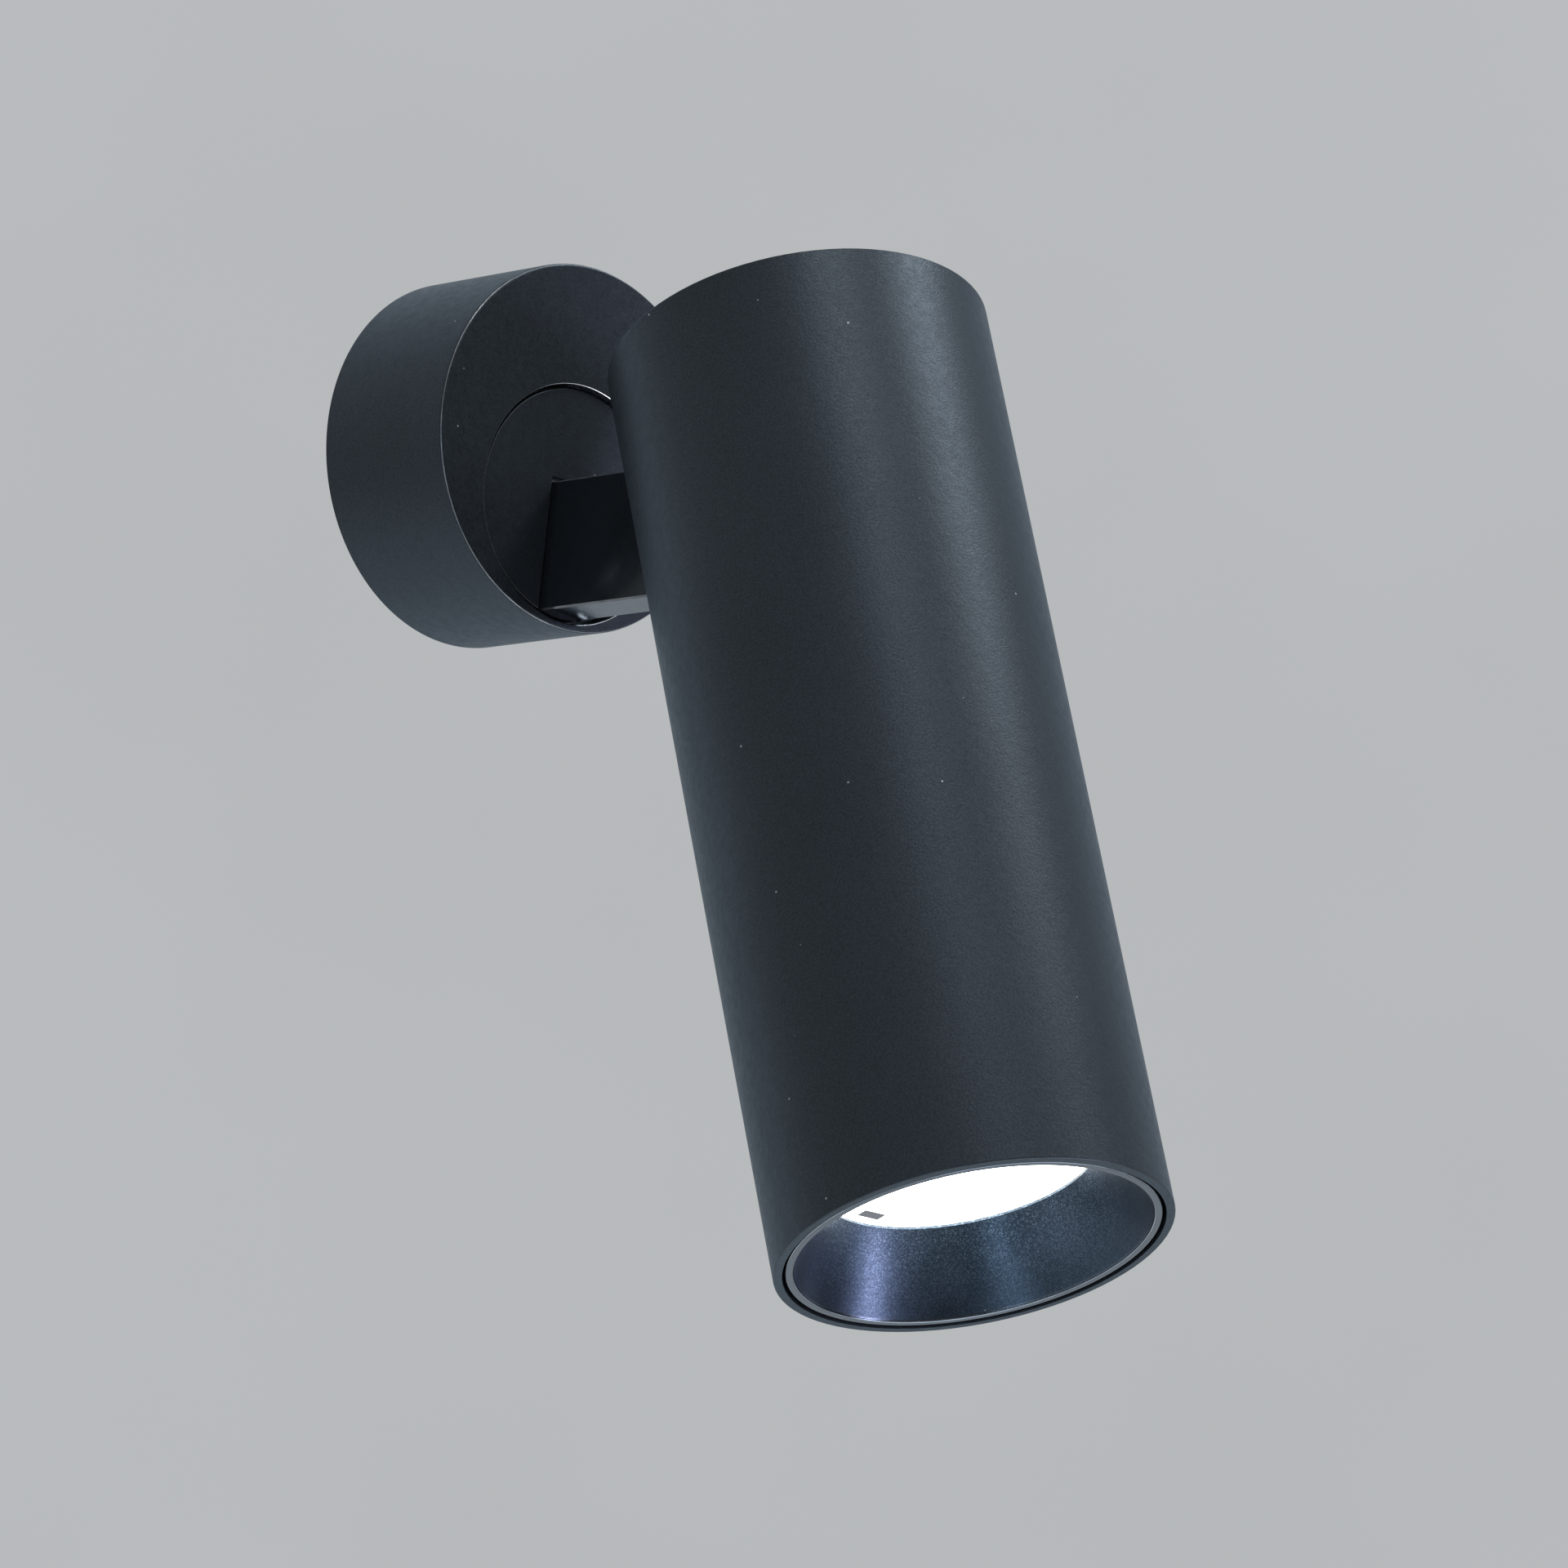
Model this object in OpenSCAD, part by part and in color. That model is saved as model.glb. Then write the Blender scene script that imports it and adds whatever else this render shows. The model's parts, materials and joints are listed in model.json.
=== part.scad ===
// Pivoting spotlight for a wall. A round base carries an off-centre turning disc, a flat arm comes
// out of the disc, and a long round head tilts on the arm's end.
// The origin is the centre of the base's back face, on the wall. +Z is up, and the light stands
// out from the wall along -Y. With the head tilted straight out, head and base share one axis.

/* [Wall base] */
// Diameter of the wall base
base_d = 60; // [58:0.5:64]
// How far the base stands out from the wall
base_depth = 28; // [27:0.5:34]
// Thickness of the base's side wall
base_wall = 1.8; // [1.4:0.1:2.1]
// Thickness of the base's front wall
base_front = 2.5; // [2:0.1:3]
// Rounding of the base's outer front edge
base_edge = 0.5; // [0.3:0.1:0.6]
// Narrowest rim between the turret's hole and the outside of the base
base_rim = 1.2; // [1:0.1:2]

/* [Wall bracket] */
// Thickness of the bracket's sheet
bracket_t = 1.5; // [1:0.1:2]
// Distance from the centre of a wall screw slot to the bracket's edge
slot_inset = 7; // [7:0.5:9]
// Width of a wall screw slot
wall_slot_w = 4.5; // [4:0.1:5.5]
// Length of a wall screw slot, end to end
wall_slot_len = 8; // [7:0.5:10]
// Width of the bracket's two bent tabs
tab_w = 10; // [8:0.5:12]
// How far the tabs stand out from the wall
tab_reach = 10; // [9:0.5:12]
// Bore of the rubber grommet for the mains cable
cable_d = 7; // [6:0.2:8]

/* [Turret] */
// Share of the base's diameter that the turning disc takes
turret_share = 0.63; // [0.6:0.005:0.65]
// Gap round the turning disc
turret_gap = 0.6; // [0.4:0.1:0.9]
// How far the disc lies behind the base's face
turret_sink = 0.75; // [0.4:0.05:1.2]
// Rounding of the edges of the disc and of its hole
turret_edge = 0.3; // [0.2:0.05:0.4]
// Thickness of the turning disc
cover_t = 1.2; // [0.9:0.1:1.5]
// How far the edge of the puck behind the disc lies inside the disc's edge
carrier_inset = 1.3; // [0.9:0.1:2]
// Thickness of the puck
carrier_t = 5.6; // [5.2:0.1:6]
// Outside diameter of the hollow spindle
spindle_d = 10; // [9:0.5:11]
// Bore of the spindle, for the wires
spindle_bore_d = 6.4; // [5:0.2:7]
// Thickness of the plate that carries the spindle
bearing_t = 2; // [1.5:0.1:2.5]
// Radial clearance of the spindle and of the hinge bolt in their bearings
running_play = 0.05; // [0.02:0.01:0.1]
// Turn of the turret to each side, in degrees
turn_limit = 170; // [120:5:170]

/* [Arm] */
// Thickness of the arm
arm_t = 8; // [7:0.2:8.6]
// Height of the arm
arm_h = 21.4; // [19:0.2:22]
// Distance from the arm's underside to the lower edge of the turning disc
arm_inset = 0.5; // [0.3:0.1:1.5]
// Distance from the base's front face to the hinge bolt
hinge_reach = 41.6; // [36:0.2:50]
// Depth of the arm's seat in the puck
arm_seat = 3.5; // [3:0.1:3.8]
// Bevel along the arm's edges
arm_bevel = 0.3; // [0.2:0.05:0.5]
// Gap between the arm and each slot it passes through
slot_gap = 0.7; // [0.5:0.1:1]
// Bore through the arm, for the wires
arm_bore_d = 4.4; // [3.6:0.2:5]

/* [Hinge] */
// Diameter of the hinge bolt
bolt_d = 5; // [4:0.5:6]
// Thickness of each friction washer
hinge_washer_t = 0.5; // [0.4:0.1:0.8]
// Thickness of each cheek of the yoke
cheek_t = 2.6; // [2:0.1:3.5]
// Radius of the cheeks round the bolt
cheek_r = 8; // [7:0.2:9]
// Thickness of the yoke's plate
yoke_t = 3; // [2.5:0.1:4]
// Tilt of the head away from hanging straight down, in degrees
head_tilt = 22; // [0:1:90]

/* [Head] */
// Outside diameter of the head
head_d = 60.4; // [59:0.2:64]
// Length of the head
head_len = 155; // [145:1:180]
// Wall of the head's tube
head_wall = 1.35; // [1.2:0.05:1.6]
// Rounding of the tube's two rims
head_edge = 0.25; // [0.15:0.05:0.4]
// Distance from the head's top end to the hinge bolt
hinge_drop = 22.85; // [20:0.05:28]
// Thickness of the end cap
cap_t = 2; // [1.5:0.1:3]
// Height of the end cap's inner skirt
cap_skirt = 5; // [4:0.5:7]

/* [Mouth] */
// Dark gap between the tube and the conical trim
lip_gap = 0.5; // [0.3:0.05:0.8]
// Width of the trim's bright lip
lip_w = 1.25; // [0.8:0.05:1.8]
// Depth of the lens behind the mouth
lens_depth = 13.3; // [10:0.1:18]
// Width of the cone's ring, from the lip to the part of the lens that shows
cone_w = 6; // [4:0.1:8]
// Thickness of the lens
lens_t = 2.5; // [2:0.1:3.5]
// How far the lens reaches behind the trim
lens_lap = 1.3; // [1:0.1:2]
// Thickness of the lens gasket
gasket_t = 1.2; // [0.8:0.1:1.6]

/* [Light source] */
// Height of the bowl from the gasket to its neck
bowl_h = 20; // [16:0.5:24]
// Diameter of the bowl's neck
neck_d = 15.2; // [14:0.2:18]
// Wall of the bowl
bowl_wall = 0.9; // [0.7:0.1:1.2]
// Side of the square light board
board_w = 19; // [17:0.5:20]
// Thickness of the light board
board_t = 1.2; // [1:0.1:1.6]
// Thickness of the light-giving spot on the board
emitter_t = 0.6; // [0.4:0.1:0.8]
// Thickness of the heat-conducting pad
pad_t = 0.3; // [0.2:0.1:0.5]
// Thickness of the heat sink's base
sink_base_t = 6; // [5:0.5:8]
// Share of the room between heat sink base and yoke that the fins take
fin_share = 0.35; // [0.25:0.01:0.4]
// Thickness of a fin
fin_t = 1.6; // [1.2:0.1:1.8]
// Distance from fin to fin
fin_pitch = 5; // [4.8:0.1:6]

/* [Driver] */
// Gap between the driver's case and each tie rod
driver_side_gap = 4; // [2:0.5:6]
// Distance from the case's front and back corners to the tube, square to its front
driver_front_gap = 8.3; // [6:0.1:10]
// Share of the room between heat sink base and yoke that the driver's case takes
driver_share = 0.56; // [0.45:0.01:0.57]
// Thickness of the driver's lid
driver_lid_t = 2; // [1.5:0.1:3]
// Diameter of the two tie rods
rod_d = 3; // [2.5:0.1:3.2]

/* [Hidden] */

// Finishes
BLACK = "#2c2f34";
CHROME = "#4a5160";
STEEL = "#b4b7ba";
ALU = "#c4c7ca";
ZINC = "#9aa0a6";
RUBBER = "#1c1d1f";
PLASTIC = "#e6e4dc";

// Facets of large, middling and small rounds, and steps along a rounded edge
fn_large = 144;
fn_mid = 64;
fn_small = 32;
edge_steps = 5;
// Overrun of every cut past the face that it opens
over = 1;
// Clearance of pieces that slide into the tube, and of flat faces that turn on each other
fit = 0.05;

// Base
base_r = base_d / 2;
base_in_r = base_r - base_wall;
front_in = base_depth - base_front;

// Turret, seen from the wall outwards
turret_r = base_r * turret_share;
hole_r = turret_r + turret_gap;
turret_drop = base_r - base_rim - hole_r;
cover_front = base_depth - turret_sink;
carrier_front = cover_front - cover_t;
carrier_back = carrier_front - carrier_t;
carrier_r = turret_r - carrier_inset;
stop_d = 2;
stop_inset = 2.6;
stop_circle_r = carrier_r - stop_inset;
slip_t = 0.5;
slip_w = 4.45;
slip_r = spindle_d / 2 + running_play + slip_w;
bearing_front = carrier_back - fit - slip_t;
bearing_back = bearing_front - bearing_t;
wave_t = 1;
wave_r = 8.2;
spindle_washer_t = 1;
spindle_washer_r = 8.5;
spindle_nut_t = 4;
spindle_nut_w = 15;
wave_back = bearing_back - fit - wave_t;
washer_back = wave_back - spindle_washer_t;
nut_back = washer_back - spindle_nut_t;
spindle_end = 1;
spindle_back = nut_back - spindle_end;
bearing_edge_gap = 0.6;

// Bearing plate screws, on a circle round the base's axis
boss_r = 2.8;
boss_inset = 4;
boss_circle_r = base_in_r - boss_inset;
boss_angles = [90, -14, 194];
plate_screw_d = 2.5;
plate_head_r = 2.3;
plate_head_t = 1.8;
plate_screw_bite = 4.5;

// Groove that the turn stop's pin runs in
groove_side_gap = 0.4;
groove_depth = 1.2;
groove_w = stop_d + 2 * groove_side_gap;
stop_angle = 90;
groove_half_angle = turn_limit + asin(groove_w / 2 / stop_circle_r);

// Arm
head_r = head_d / 2;
head_in_r = head_r - head_wall;
arm_low = turret_drop + turret_r - arm_inset;
arm_root = carrier_front - arm_seat;
hinge_low = arm_low - arm_h / 2;
hinge_out = base_depth + hinge_reach;
arm_bore_wall = 1.3;
arm_bore_up = arm_h / 2 - arm_bore_d / 2 - arm_bore_wall;
arm_grub_d = 3;
arm_grub_len = 6;

// Hinge, across the arm
cheek_in = arm_t / 2 + fit + hinge_washer_t;
cheek_out = cheek_in + cheek_t;
hinge_washer_r = 7.4;
bolt_head_r = 4.25;
bolt_head_t = 3;
bolt_key_w = 4;
bolt_key_depth = 1.8;
lock_washer_t = 1;
lock_washer_r = 4.6;
hinge_nut_w = 8;
hinge_nut_t = 4;
bolt_end = 0.8;

// Head, from the mouth upwards
hinge_up = head_len - hinge_drop;
cheek_room = 3.85;
hinge_back = head_in_r - cheek_r - cheek_room;
yoke_clear = 0.8;
yoke_top = hinge_up - arm_h / 2 - yoke_clear;
yoke_bottom = yoke_top - yoke_t;
slot_w = arm_t + 2 * slot_gap;
slot_bottom = hinge_up - arm_h / 2 - slot_gap;
slot_corner_r = 1;
cheek_foot = 9;
ear_w = 9;
ear_dp = 7;
ear_h = 6.4;
ear_gap = 1.02;
ear_angle = asin((cheek_out + ear_w / 2 + ear_gap) / (head_in_r - ear_dp / 2));
ear_up = yoke_top + ear_h / 2;
yoke_screw_d = 3;
yoke_screw_head_r = 3;
yoke_screw_len = 7;
yoke_screw_sink = 0.1;
cap_sink = 0.4;
cap_top = head_len - cap_sink;
cap_skirt_t = 1.2;

// Mouth
lip_sink = 0.2;
lip_round = 0.3;
trim_out_r = head_in_r - lip_gap;
trim_in_r = trim_out_r - lip_w;
window_r = trim_in_r - cone_w;
window_land = 0.4;
lens_r = window_r + lens_lap;
lens_gap = 0.15;
band_low = 8;
band_high = 14;
trim_rise = 0.6;
trim_wall = 1.2;
trim_top = lens_depth + lens_t + trim_rise;
gasket_lap = 0.5;
gasket_in_r = window_r - gasket_lap;
gasket_top = lens_depth + lens_t + gasket_t;
seat_w = 2.4;
seat_t = 2;
seat_top = gasket_top + seat_t;

// Light source
neck_r = neck_d / 2;
neck_up = gasket_top + bowl_h;
flange_t = 1;
flange_gap = 0.5;
bowl_steps = 14;
holder_under = 1.8;
board_up = neck_up + holder_under;
pad_up = board_up + board_t;
sink_up = pad_up + pad_t;
fin_up = sink_up + sink_base_t;
holder_r = 15.5;
board_gap = 0.15;
emitter_gap = 0.6;
cob_screw_d = 2.5;
cob_screw_out = 12.9;
cob_head_r = 2.2;
cob_head_t = 1.6;
cob_bite = 4;
fin_edge_gap = 1.2;
fin_room = yoke_bottom - fin_up;
fin_h = fin_room * fin_share;

// Driver and tie rods
rod_inset = 6.35;
rod_out = head_in_r - rod_inset;
rod_bite = 4;
rod_nut_w = 5.5;
rod_nut_t = 2.4;
rod_end = 0.8;
driver_corner = 3;
driver_w = 2 * (rod_out - rod_d / 2 - driver_side_gap);
driver_dp = 2 * (sqrt(pow(head_in_r, 2) - pow(driver_w / 2, 2)) - driver_front_gap);
driver_low = yoke_bottom - fin_room * driver_share;
driver_screw_d = 3;
driver_screw_side = 7;
driver_screw_edge = 6;
driver_screw_out = driver_w / 2 - driver_screw_side;
driver_screw_front = driver_dp / 2 - driver_screw_edge;
driver_head_r = 2.7;
driver_head_t = 1.8;
driver_bite = 5;

// Fittings on the bracket
bracket_edge_gap = 1.2;
bracket_r = base_in_r - bracket_edge_gap;
wall_screw_out = bracket_r - slot_inset;
tab_gap = 0.5;
tab_out = sqrt(pow(base_in_r, 2) - pow(tab_w / 2, 2)) - tab_gap;
grub_d = 3;
grub_out = 6;
grub_sink = 0.6;
grub_hole_gap = 0.1;
lug_d = 2.4;
lug_gap = 0.2;
lug_bite = 0.8;
cable_low = 9;
grommet_wall = 2;
grommet_flange = 1.5;
grommet_flange_t = 1.7;
grommet_r = cable_d / 2 + grommet_wall;
earth_inset = 6.4;
earth_angle = 129;
earth_at = (bracket_r - earth_inset) * [cos(earth_angle), sin(earth_angle)];
earth_d = 4;
earth_head_r = 3.8;
earth_head_t = 2.4;
earth_washer_r = 4.4;
earth_washer_t = 0.8;
terminal_w = 22;
terminal_h = 10;
terminal_side = 6;
terminal_room = 1.95;
terminal_edge = sqrt(pow(base_in_r - terminal_room, 2) - pow(terminal_side + terminal_w / 2, 2));
terminal_at = [terminal_side, terminal_edge - terminal_h / 2];
terminal_t = 9;
terminal_corner = 1;
terminal_ways = 3;
terminal_pitch = 7;
wire_d = 3;
wire_up = 3.2;
clamp_d = 3.4;
clamp_bite = 3;
clamp_sink = 1.2;

// Points on an arc
function arc(cx, cy, r, a0, a1) = [
    for (i = [0 : edge_steps])
        let (a = a0 + (a1 - a0) * i / edge_steps) [cx + r * cos(a), cy + r * sin(a)]
];

function reversed(list) = [for (i = [len(list) - 1 : -1 : 0]) list[i]];

// Local +Z points out of the wall and local +Y points up
module out_of_wall() {
    rotate([90, 0, 0]) children();
}

// The same, on the turret's axis
module at_turret() {
    out_of_wall() translate([0, -turret_drop, 0]) children();
}

// Origin on the hinge bolt, +Z up along the head, +Y towards the side that faces the wall
module at_hinge() {
    translate([0, -hinge_out, -hinge_low]) rotate([-head_tilt, 0, 0]) children();
}

// Origin in the centre of the mouth, +Z up along the head's axis
module in_head() {
    at_hinge() translate([0, -hinge_back, -hinge_up]) children();
}

// A rod or disc between two heights
module rod(r, low, high, fn = fn_small) {
    translate([0, 0, low]) cylinder(r = r, h = high - low, $fn = fn);
}

// A ring between two heights
module ring(r_out, r_in, low, high, fn = fn_mid) {
    difference() {
        rod(r_out, low, high, fn);
        rod(r_in, low - over, high + over, fn);
    }
}

// A hexagon nut, measured across its flats
module hex_nut(w, r_in, low, high) {
    difference() {
        rod(w / 2 / cos(30), low, high, 6);
        rod(r_in, low - over, high + over);
    }
}

// A disc with a rounded edge on its outer face
module soft_disc(r, low, high, e, fn) {
    rotate_extrude($fn = fn)
        polygon(concat([[0, low], [r, low]], arc(r - e, high - e, e, 0, 90), [[0, high]]));
}

// The cut of a round hole whose mouth at the given height is rounded
module soft_hole(r, low, mouth, e, fn) {
    top = mouth + over;
    edge = arc(r + e, mouth - e, e, 180, 90);
    rotate_extrude($fn = fn) polygon(concat([[0, low], [r, low]], edge, [[r + e, top], [0, top]]));
}

// A box with rounded upright corners, centred on its axis
module soft_box(w, dp, low, high, c) {
    x = w / 2 - c;
    y = dp / 2 - c;
    outline = concat(
        arc(x, y, c, 0, 90), arc(-x, y, c, 90, 180),
        arc(-x, -y, c, 180, 270), arc(x, -y, c, 270, 360)
    );
    translate([0, 0, low]) linear_extrude(high - low) polygon(outline);
}

// One copy of what follows at each bearing plate screw
module at_plate_screws() {
    for (a = boss_angles) translate([boss_circle_r * cos(a), boss_circle_r * sin(a), 0]) children();
}

module at_both_sides() {
    children();
    mirror([1, 0, 0]) children();
}

// Wall base
module wall_bracket() {
    color(ZINC) out_of_wall() {
        difference() {
            union() {
                rod(bracket_r, 0, bracket_t, fn_large);
                at_both_sides() tab();
                translate([-tab_out - lug_reach(), 0, grub_out]) rotate([0, 90, 0])
                    cylinder(d = lug_d, h = lug_reach() + bracket_t / 2, $fn = fn_small);
            }
            at_both_sides() wall_slot();
            translate([0, -cable_low, 0]) rod(grommet_r, -over, bracket_t + over, fn_mid);
            translate([tab_out - bracket_t - over, 0, grub_out]) rotate([0, 90, 0])
                cylinder(d = grub_d, h = bracket_t + 2 * over, $fn = fn_small);
            translate([earth_at[0], earth_at[1], 0]) rod(earth_d / 2, -over, bracket_t + over);
        }
    }
}

// How far the lug stands out of its tab, into the base's side wall
function lug_reach() = base_in_r + lug_bite - tab_out;

module tab() {
    translate([tab_out - bracket_t, -tab_w / 2, 0]) cube([bracket_t, tab_w, tab_reach]);
}

module wall_slot() {
    end_x = (wall_slot_len - wall_slot_w) / 2;
    translate([wall_screw_out, 0, 0]) {
        for (x = [-end_x, end_x])
            translate([x, 0, 0]) rod(wall_slot_w / 2, -over, bracket_t + over);
        translate([-end_x, -wall_slot_w / 2, -over]) cube([2 * end_x, wall_slot_w, bracket_t + 2 * over]);
    }
}

module cable_grommet() {
    top = bracket_t + grommet_flange_t;
    color(RUBBER) out_of_wall() translate([0, -cable_low, 0]) difference() {
        union() {
            rod(grommet_r, 0, bracket_t, fn_mid);
            soft_disc(grommet_r + grommet_flange, bracket_t, top, grommet_flange_t / 2, fn_mid);
        }
        rod(cable_d / 2, -over, top + over, fn_mid);
    }
}

module earth_washer() {
    color(STEEL) out_of_wall() translate([earth_at[0], earth_at[1], 0])
        ring(earth_washer_r, earth_d / 2, bracket_t, bracket_t + earth_washer_t);
}

module earth_screw() {
    head_low = bracket_t + earth_washer_t;
    color(STEEL) out_of_wall() translate([earth_at[0], earth_at[1], 0]) {
        rod(earth_d / 2, 0, head_low);
        soft_disc(earth_head_r, head_low, head_low + earth_head_t, earth_head_t / 2, fn_mid);
    }
}

// Places of the terminal block's ways
function way_x(i) = (i - (terminal_ways - 1) / 2) * terminal_pitch;

module at_terminal() {
    out_of_wall() translate([terminal_at[0], terminal_at[1], bracket_t]) children();
}

module terminal_block() {
    color(PLASTIC) at_terminal() difference() {
        soft_box(terminal_w, terminal_h, 0, terminal_t, terminal_corner);
        for (i = [0 : terminal_ways - 1]) translate([way_x(i), 0, 0]) {
            translate([0, 0, wire_up]) rotate([90, 0, 0])
                cylinder(d = wire_d, h = terminal_h + 2 * over, center = true, $fn = fn_small);
            rod(clamp_d / 2, terminal_t - clamp_sink - clamp_bite, terminal_t + over);
        }
    }
}

module terminal_screws() {
    color(STEEL) at_terminal() for (i = [0 : terminal_ways - 1]) translate([way_x(i), 0, 0])
        rod(clamp_d / 2, terminal_t - clamp_sink - clamp_bite, terminal_t - clamp_sink);
}

module base_cup() {
    color(BLACK) {
        out_of_wall() {
            difference() {
                soft_disc(base_r, 0, base_depth, base_edge, fn_large);
                rod(base_in_r, -over, front_in, fn_large);
                translate([0, -turret_drop, 0])
                    soft_hole(hole_r, front_in - over, base_depth, turret_edge, fn_large);
                translate([base_in_r - over, 0, grub_out]) rotate([0, 90, 0])
                    cylinder(d = grub_d + 2 * grub_hole_gap, h = base_wall + 2 * over, $fn = fn_small);
                translate([-base_in_r - lug_bite - lug_gap, 0, grub_out]) rotate([0, 90, 0])
                    cylinder(d = lug_d + 2 * grub_hole_gap, h = lug_bite + lug_gap + over, $fn = fn_small);
            }
            at_plate_screws() ring(boss_r, plate_screw_d / 2, bearing_front, front_in, fn_small);
        }
    }
}

module base_grub_screw() {
    low = tab_out - bracket_t - grub_sink;
    color(STEEL) out_of_wall() translate([low, 0, grub_out]) rotate([0, 90, 0]) difference() {
        cylinder(d = grub_d, h = base_r - grub_sink - low, $fn = fn_small);
        rod(grub_d / 4, base_r - 2 * grub_sink - low, base_r - low, 6);
    }
}

module bearing_plate() {
    color(ZINC) out_of_wall() difference() {
        rod(base_in_r - bearing_edge_gap, bearing_back, bearing_front, fn_large);
        at_plate_screws() rod(plate_screw_d / 2, bearing_back - over, bearing_front + over);
        translate([0, -turret_drop, 0]) {
            rod(spindle_d / 2 + running_play, bearing_back - over, bearing_front + over, fn_mid);
            at_stop() rod(stop_d / 2, bearing_back - over, bearing_front + over);
        }
    }
}

module bearing_plate_screws() {
    color(STEEL) out_of_wall() at_plate_screws() {
        rod(plate_screw_d / 2, bearing_back, bearing_front + plate_screw_bite);
        rod(plate_head_r, bearing_back - plate_head_t, bearing_back);
    }
}

// The turn stop's place, seen from the turret's axis
module at_stop() {
    translate([stop_circle_r * cos(stop_angle), stop_circle_r * sin(stop_angle), 0]) children();
}

module stop_pin() {
    color(STEEL) at_turret() at_stop()
        rod(stop_d / 2, bearing_back, carrier_back + groove_depth - groove_side_gap);
}

module slip_washer() {
    color(PLASTIC) at_turret()
        ring(slip_r, spindle_d / 2 + running_play, bearing_front, bearing_front + slip_t);
}

// Turret
module turret_carrier() {
    color(ALU) at_turret() difference() {
        union() {
            rod(carrier_r, carrier_back, carrier_front, fn_large);
            rod(spindle_d / 2, spindle_back, carrier_back, fn_mid);
        }
        rod(spindle_bore_d / 2, spindle_back - over, carrier_front - over, fn_mid);
        stop_groove();
        arm_pocket();
        at_arm_grubs() rod(arm_grub_d / 2, 0, carrier_r);
    }
}

// The groove that the stop pin runs in, short of a full round by the web that stops it
module stop_groove() {
    rotate([0, 0, stop_angle - groove_half_angle]) translate([0, 0, carrier_back - over])
        rotate_extrude(angle = 2 * groove_half_angle, $fn = fn_large)
            translate([stop_circle_r - groove_w / 2, 0]) square([groove_w, groove_depth + over]);
}

// The seat of the arm's root in the puck, open at the puck's lower side
module arm_pocket() {
    top = turret_drop - arm_low + arm_h;
    translate([-arm_t / 2, -turret_r - over, arm_root])
        cube([arm_t, top + turret_r + over, arm_seat + over]);
}

// One grub screw bears on each flat side of the arm, local +Z pointing away from it
module at_arm_grubs() {
    at_both_sides() translate([arm_t / 2, turret_drop - hinge_low, (arm_root + carrier_front) / 2])
        rotate([0, 90, 0]) children();
}

module arm_grub_screws() {
    color(STEEL) at_turret() at_arm_grubs() rod(arm_grub_d / 2, 0, arm_grub_len);
}

module turret_cover() {
    notch_top = turret_drop - arm_low + arm_h + slot_gap;
    color(BLACK) at_turret() difference() {
        soft_disc(turret_r, carrier_front, cover_front, turret_edge, fn_large);
        translate([-arm_t / 2 - slot_gap, -turret_r - over, carrier_front - over])
            cube([arm_t + 2 * slot_gap, notch_top + turret_r + over, cover_t + 2 * over]);
    }
}

module wave_washer() {
    color(STEEL) at_turret() ring(wave_r, spindle_d / 2, wave_back, wave_back + wave_t);
}

module spindle_washer() {
    color(STEEL) at_turret() ring(spindle_washer_r, spindle_d / 2, washer_back, wave_back);
}

module spindle_nut() {
    color(STEEL) at_turret() hex_nut(spindle_nut_w, spindle_d / 2, nut_back, washer_back);
}

// Arm, with its length along local +Z and its height along local +Y
module arm() {
    bar = hinge_out - arm_root;
    color(BLACK) out_of_wall() translate([0, -hinge_low, arm_root]) difference() {
        union() {
            linear_extrude(bar) bar_section();
            translate([0, 0, bar]) rotate([0, 90, 0]) rotate([0, 0, 90])
                rotate_extrude(angle = 180, $fn = fn_mid) round_section();
            arm_foot();
        }
        translate([0, 0, bar]) rotate([0, 90, 0])
            rod(bolt_d / 2 + running_play, -arm_t, arm_t, fn_mid);
        translate([0, arm_bore_up, 0]) rod(arm_bore_d / 2, -over, bar + arm_h);
    }
}

// Cross-section of the bar, with bevelled edges
module bar_section() {
    x = arm_t / 2;
    y = arm_h / 2;
    b = arm_bevel;
    polygon([
        [-x, b - y], [b - x, -y], [x - b, -y], [x, b - y],
        [x, y - b], [x - b, y], [b - x, y], [-x, y - b]
    ]);
}

// Half the bar's section, turned about the hinge bolt to make its round end
module round_section() {
    x = arm_t / 2;
    y = arm_h / 2;
    b = arm_bevel;
    polygon([[0, -x], [y - b, -x], [y, b - x], [y, x - b], [y - b, x], [0, x]]);
}

// The root fills the disc's notch down to the disc's own edge
module arm_foot() {
    w = arm_t - 2 * arm_bevel;
    foot_t = arm_seat + cover_t;
    intersection() {
        translate([-w / 2, -turret_r, 0]) cube([w, turret_r, foot_t]);
        translate([0, hinge_low - turret_drop, 0]) rod(turret_r, 0, foot_t, fn_large);
    }
}

// Hinge
module hinge_bolt() {
    far = cheek_out + lock_washer_t + hinge_nut_t + bolt_end;
    top = cheek_out + bolt_head_t;
    color(STEEL) at_hinge() rotate([0, 90, 0]) difference() {
        union() {
            rod(bolt_d / 2, -far, cheek_out, fn_mid);
            soft_disc(bolt_head_r, cheek_out, top, arm_bevel, fn_mid);
        }
        rod(bolt_key_w / 2 / cos(30), top - bolt_key_depth, top + over, 6);
    }
}

module hinge_washers() {
    color(PLASTIC) at_hinge() at_both_sides() rotate([0, 90, 0])
        ring(hinge_washer_r, bolt_d / 2 + running_play, cheek_in - hinge_washer_t, cheek_in);
}

module hinge_lock_washer() {
    color(STEEL) at_hinge() rotate([0, -90, 0])
        ring(lock_washer_r, bolt_d / 2, cheek_out, cheek_out + lock_washer_t);
}

module hinge_nut() {
    low = cheek_out + lock_washer_t;
    color(STEEL) at_hinge() rotate([0, -90, 0]) hex_nut(hinge_nut_w, bolt_d / 2, low, low + hinge_nut_t);
}

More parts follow.
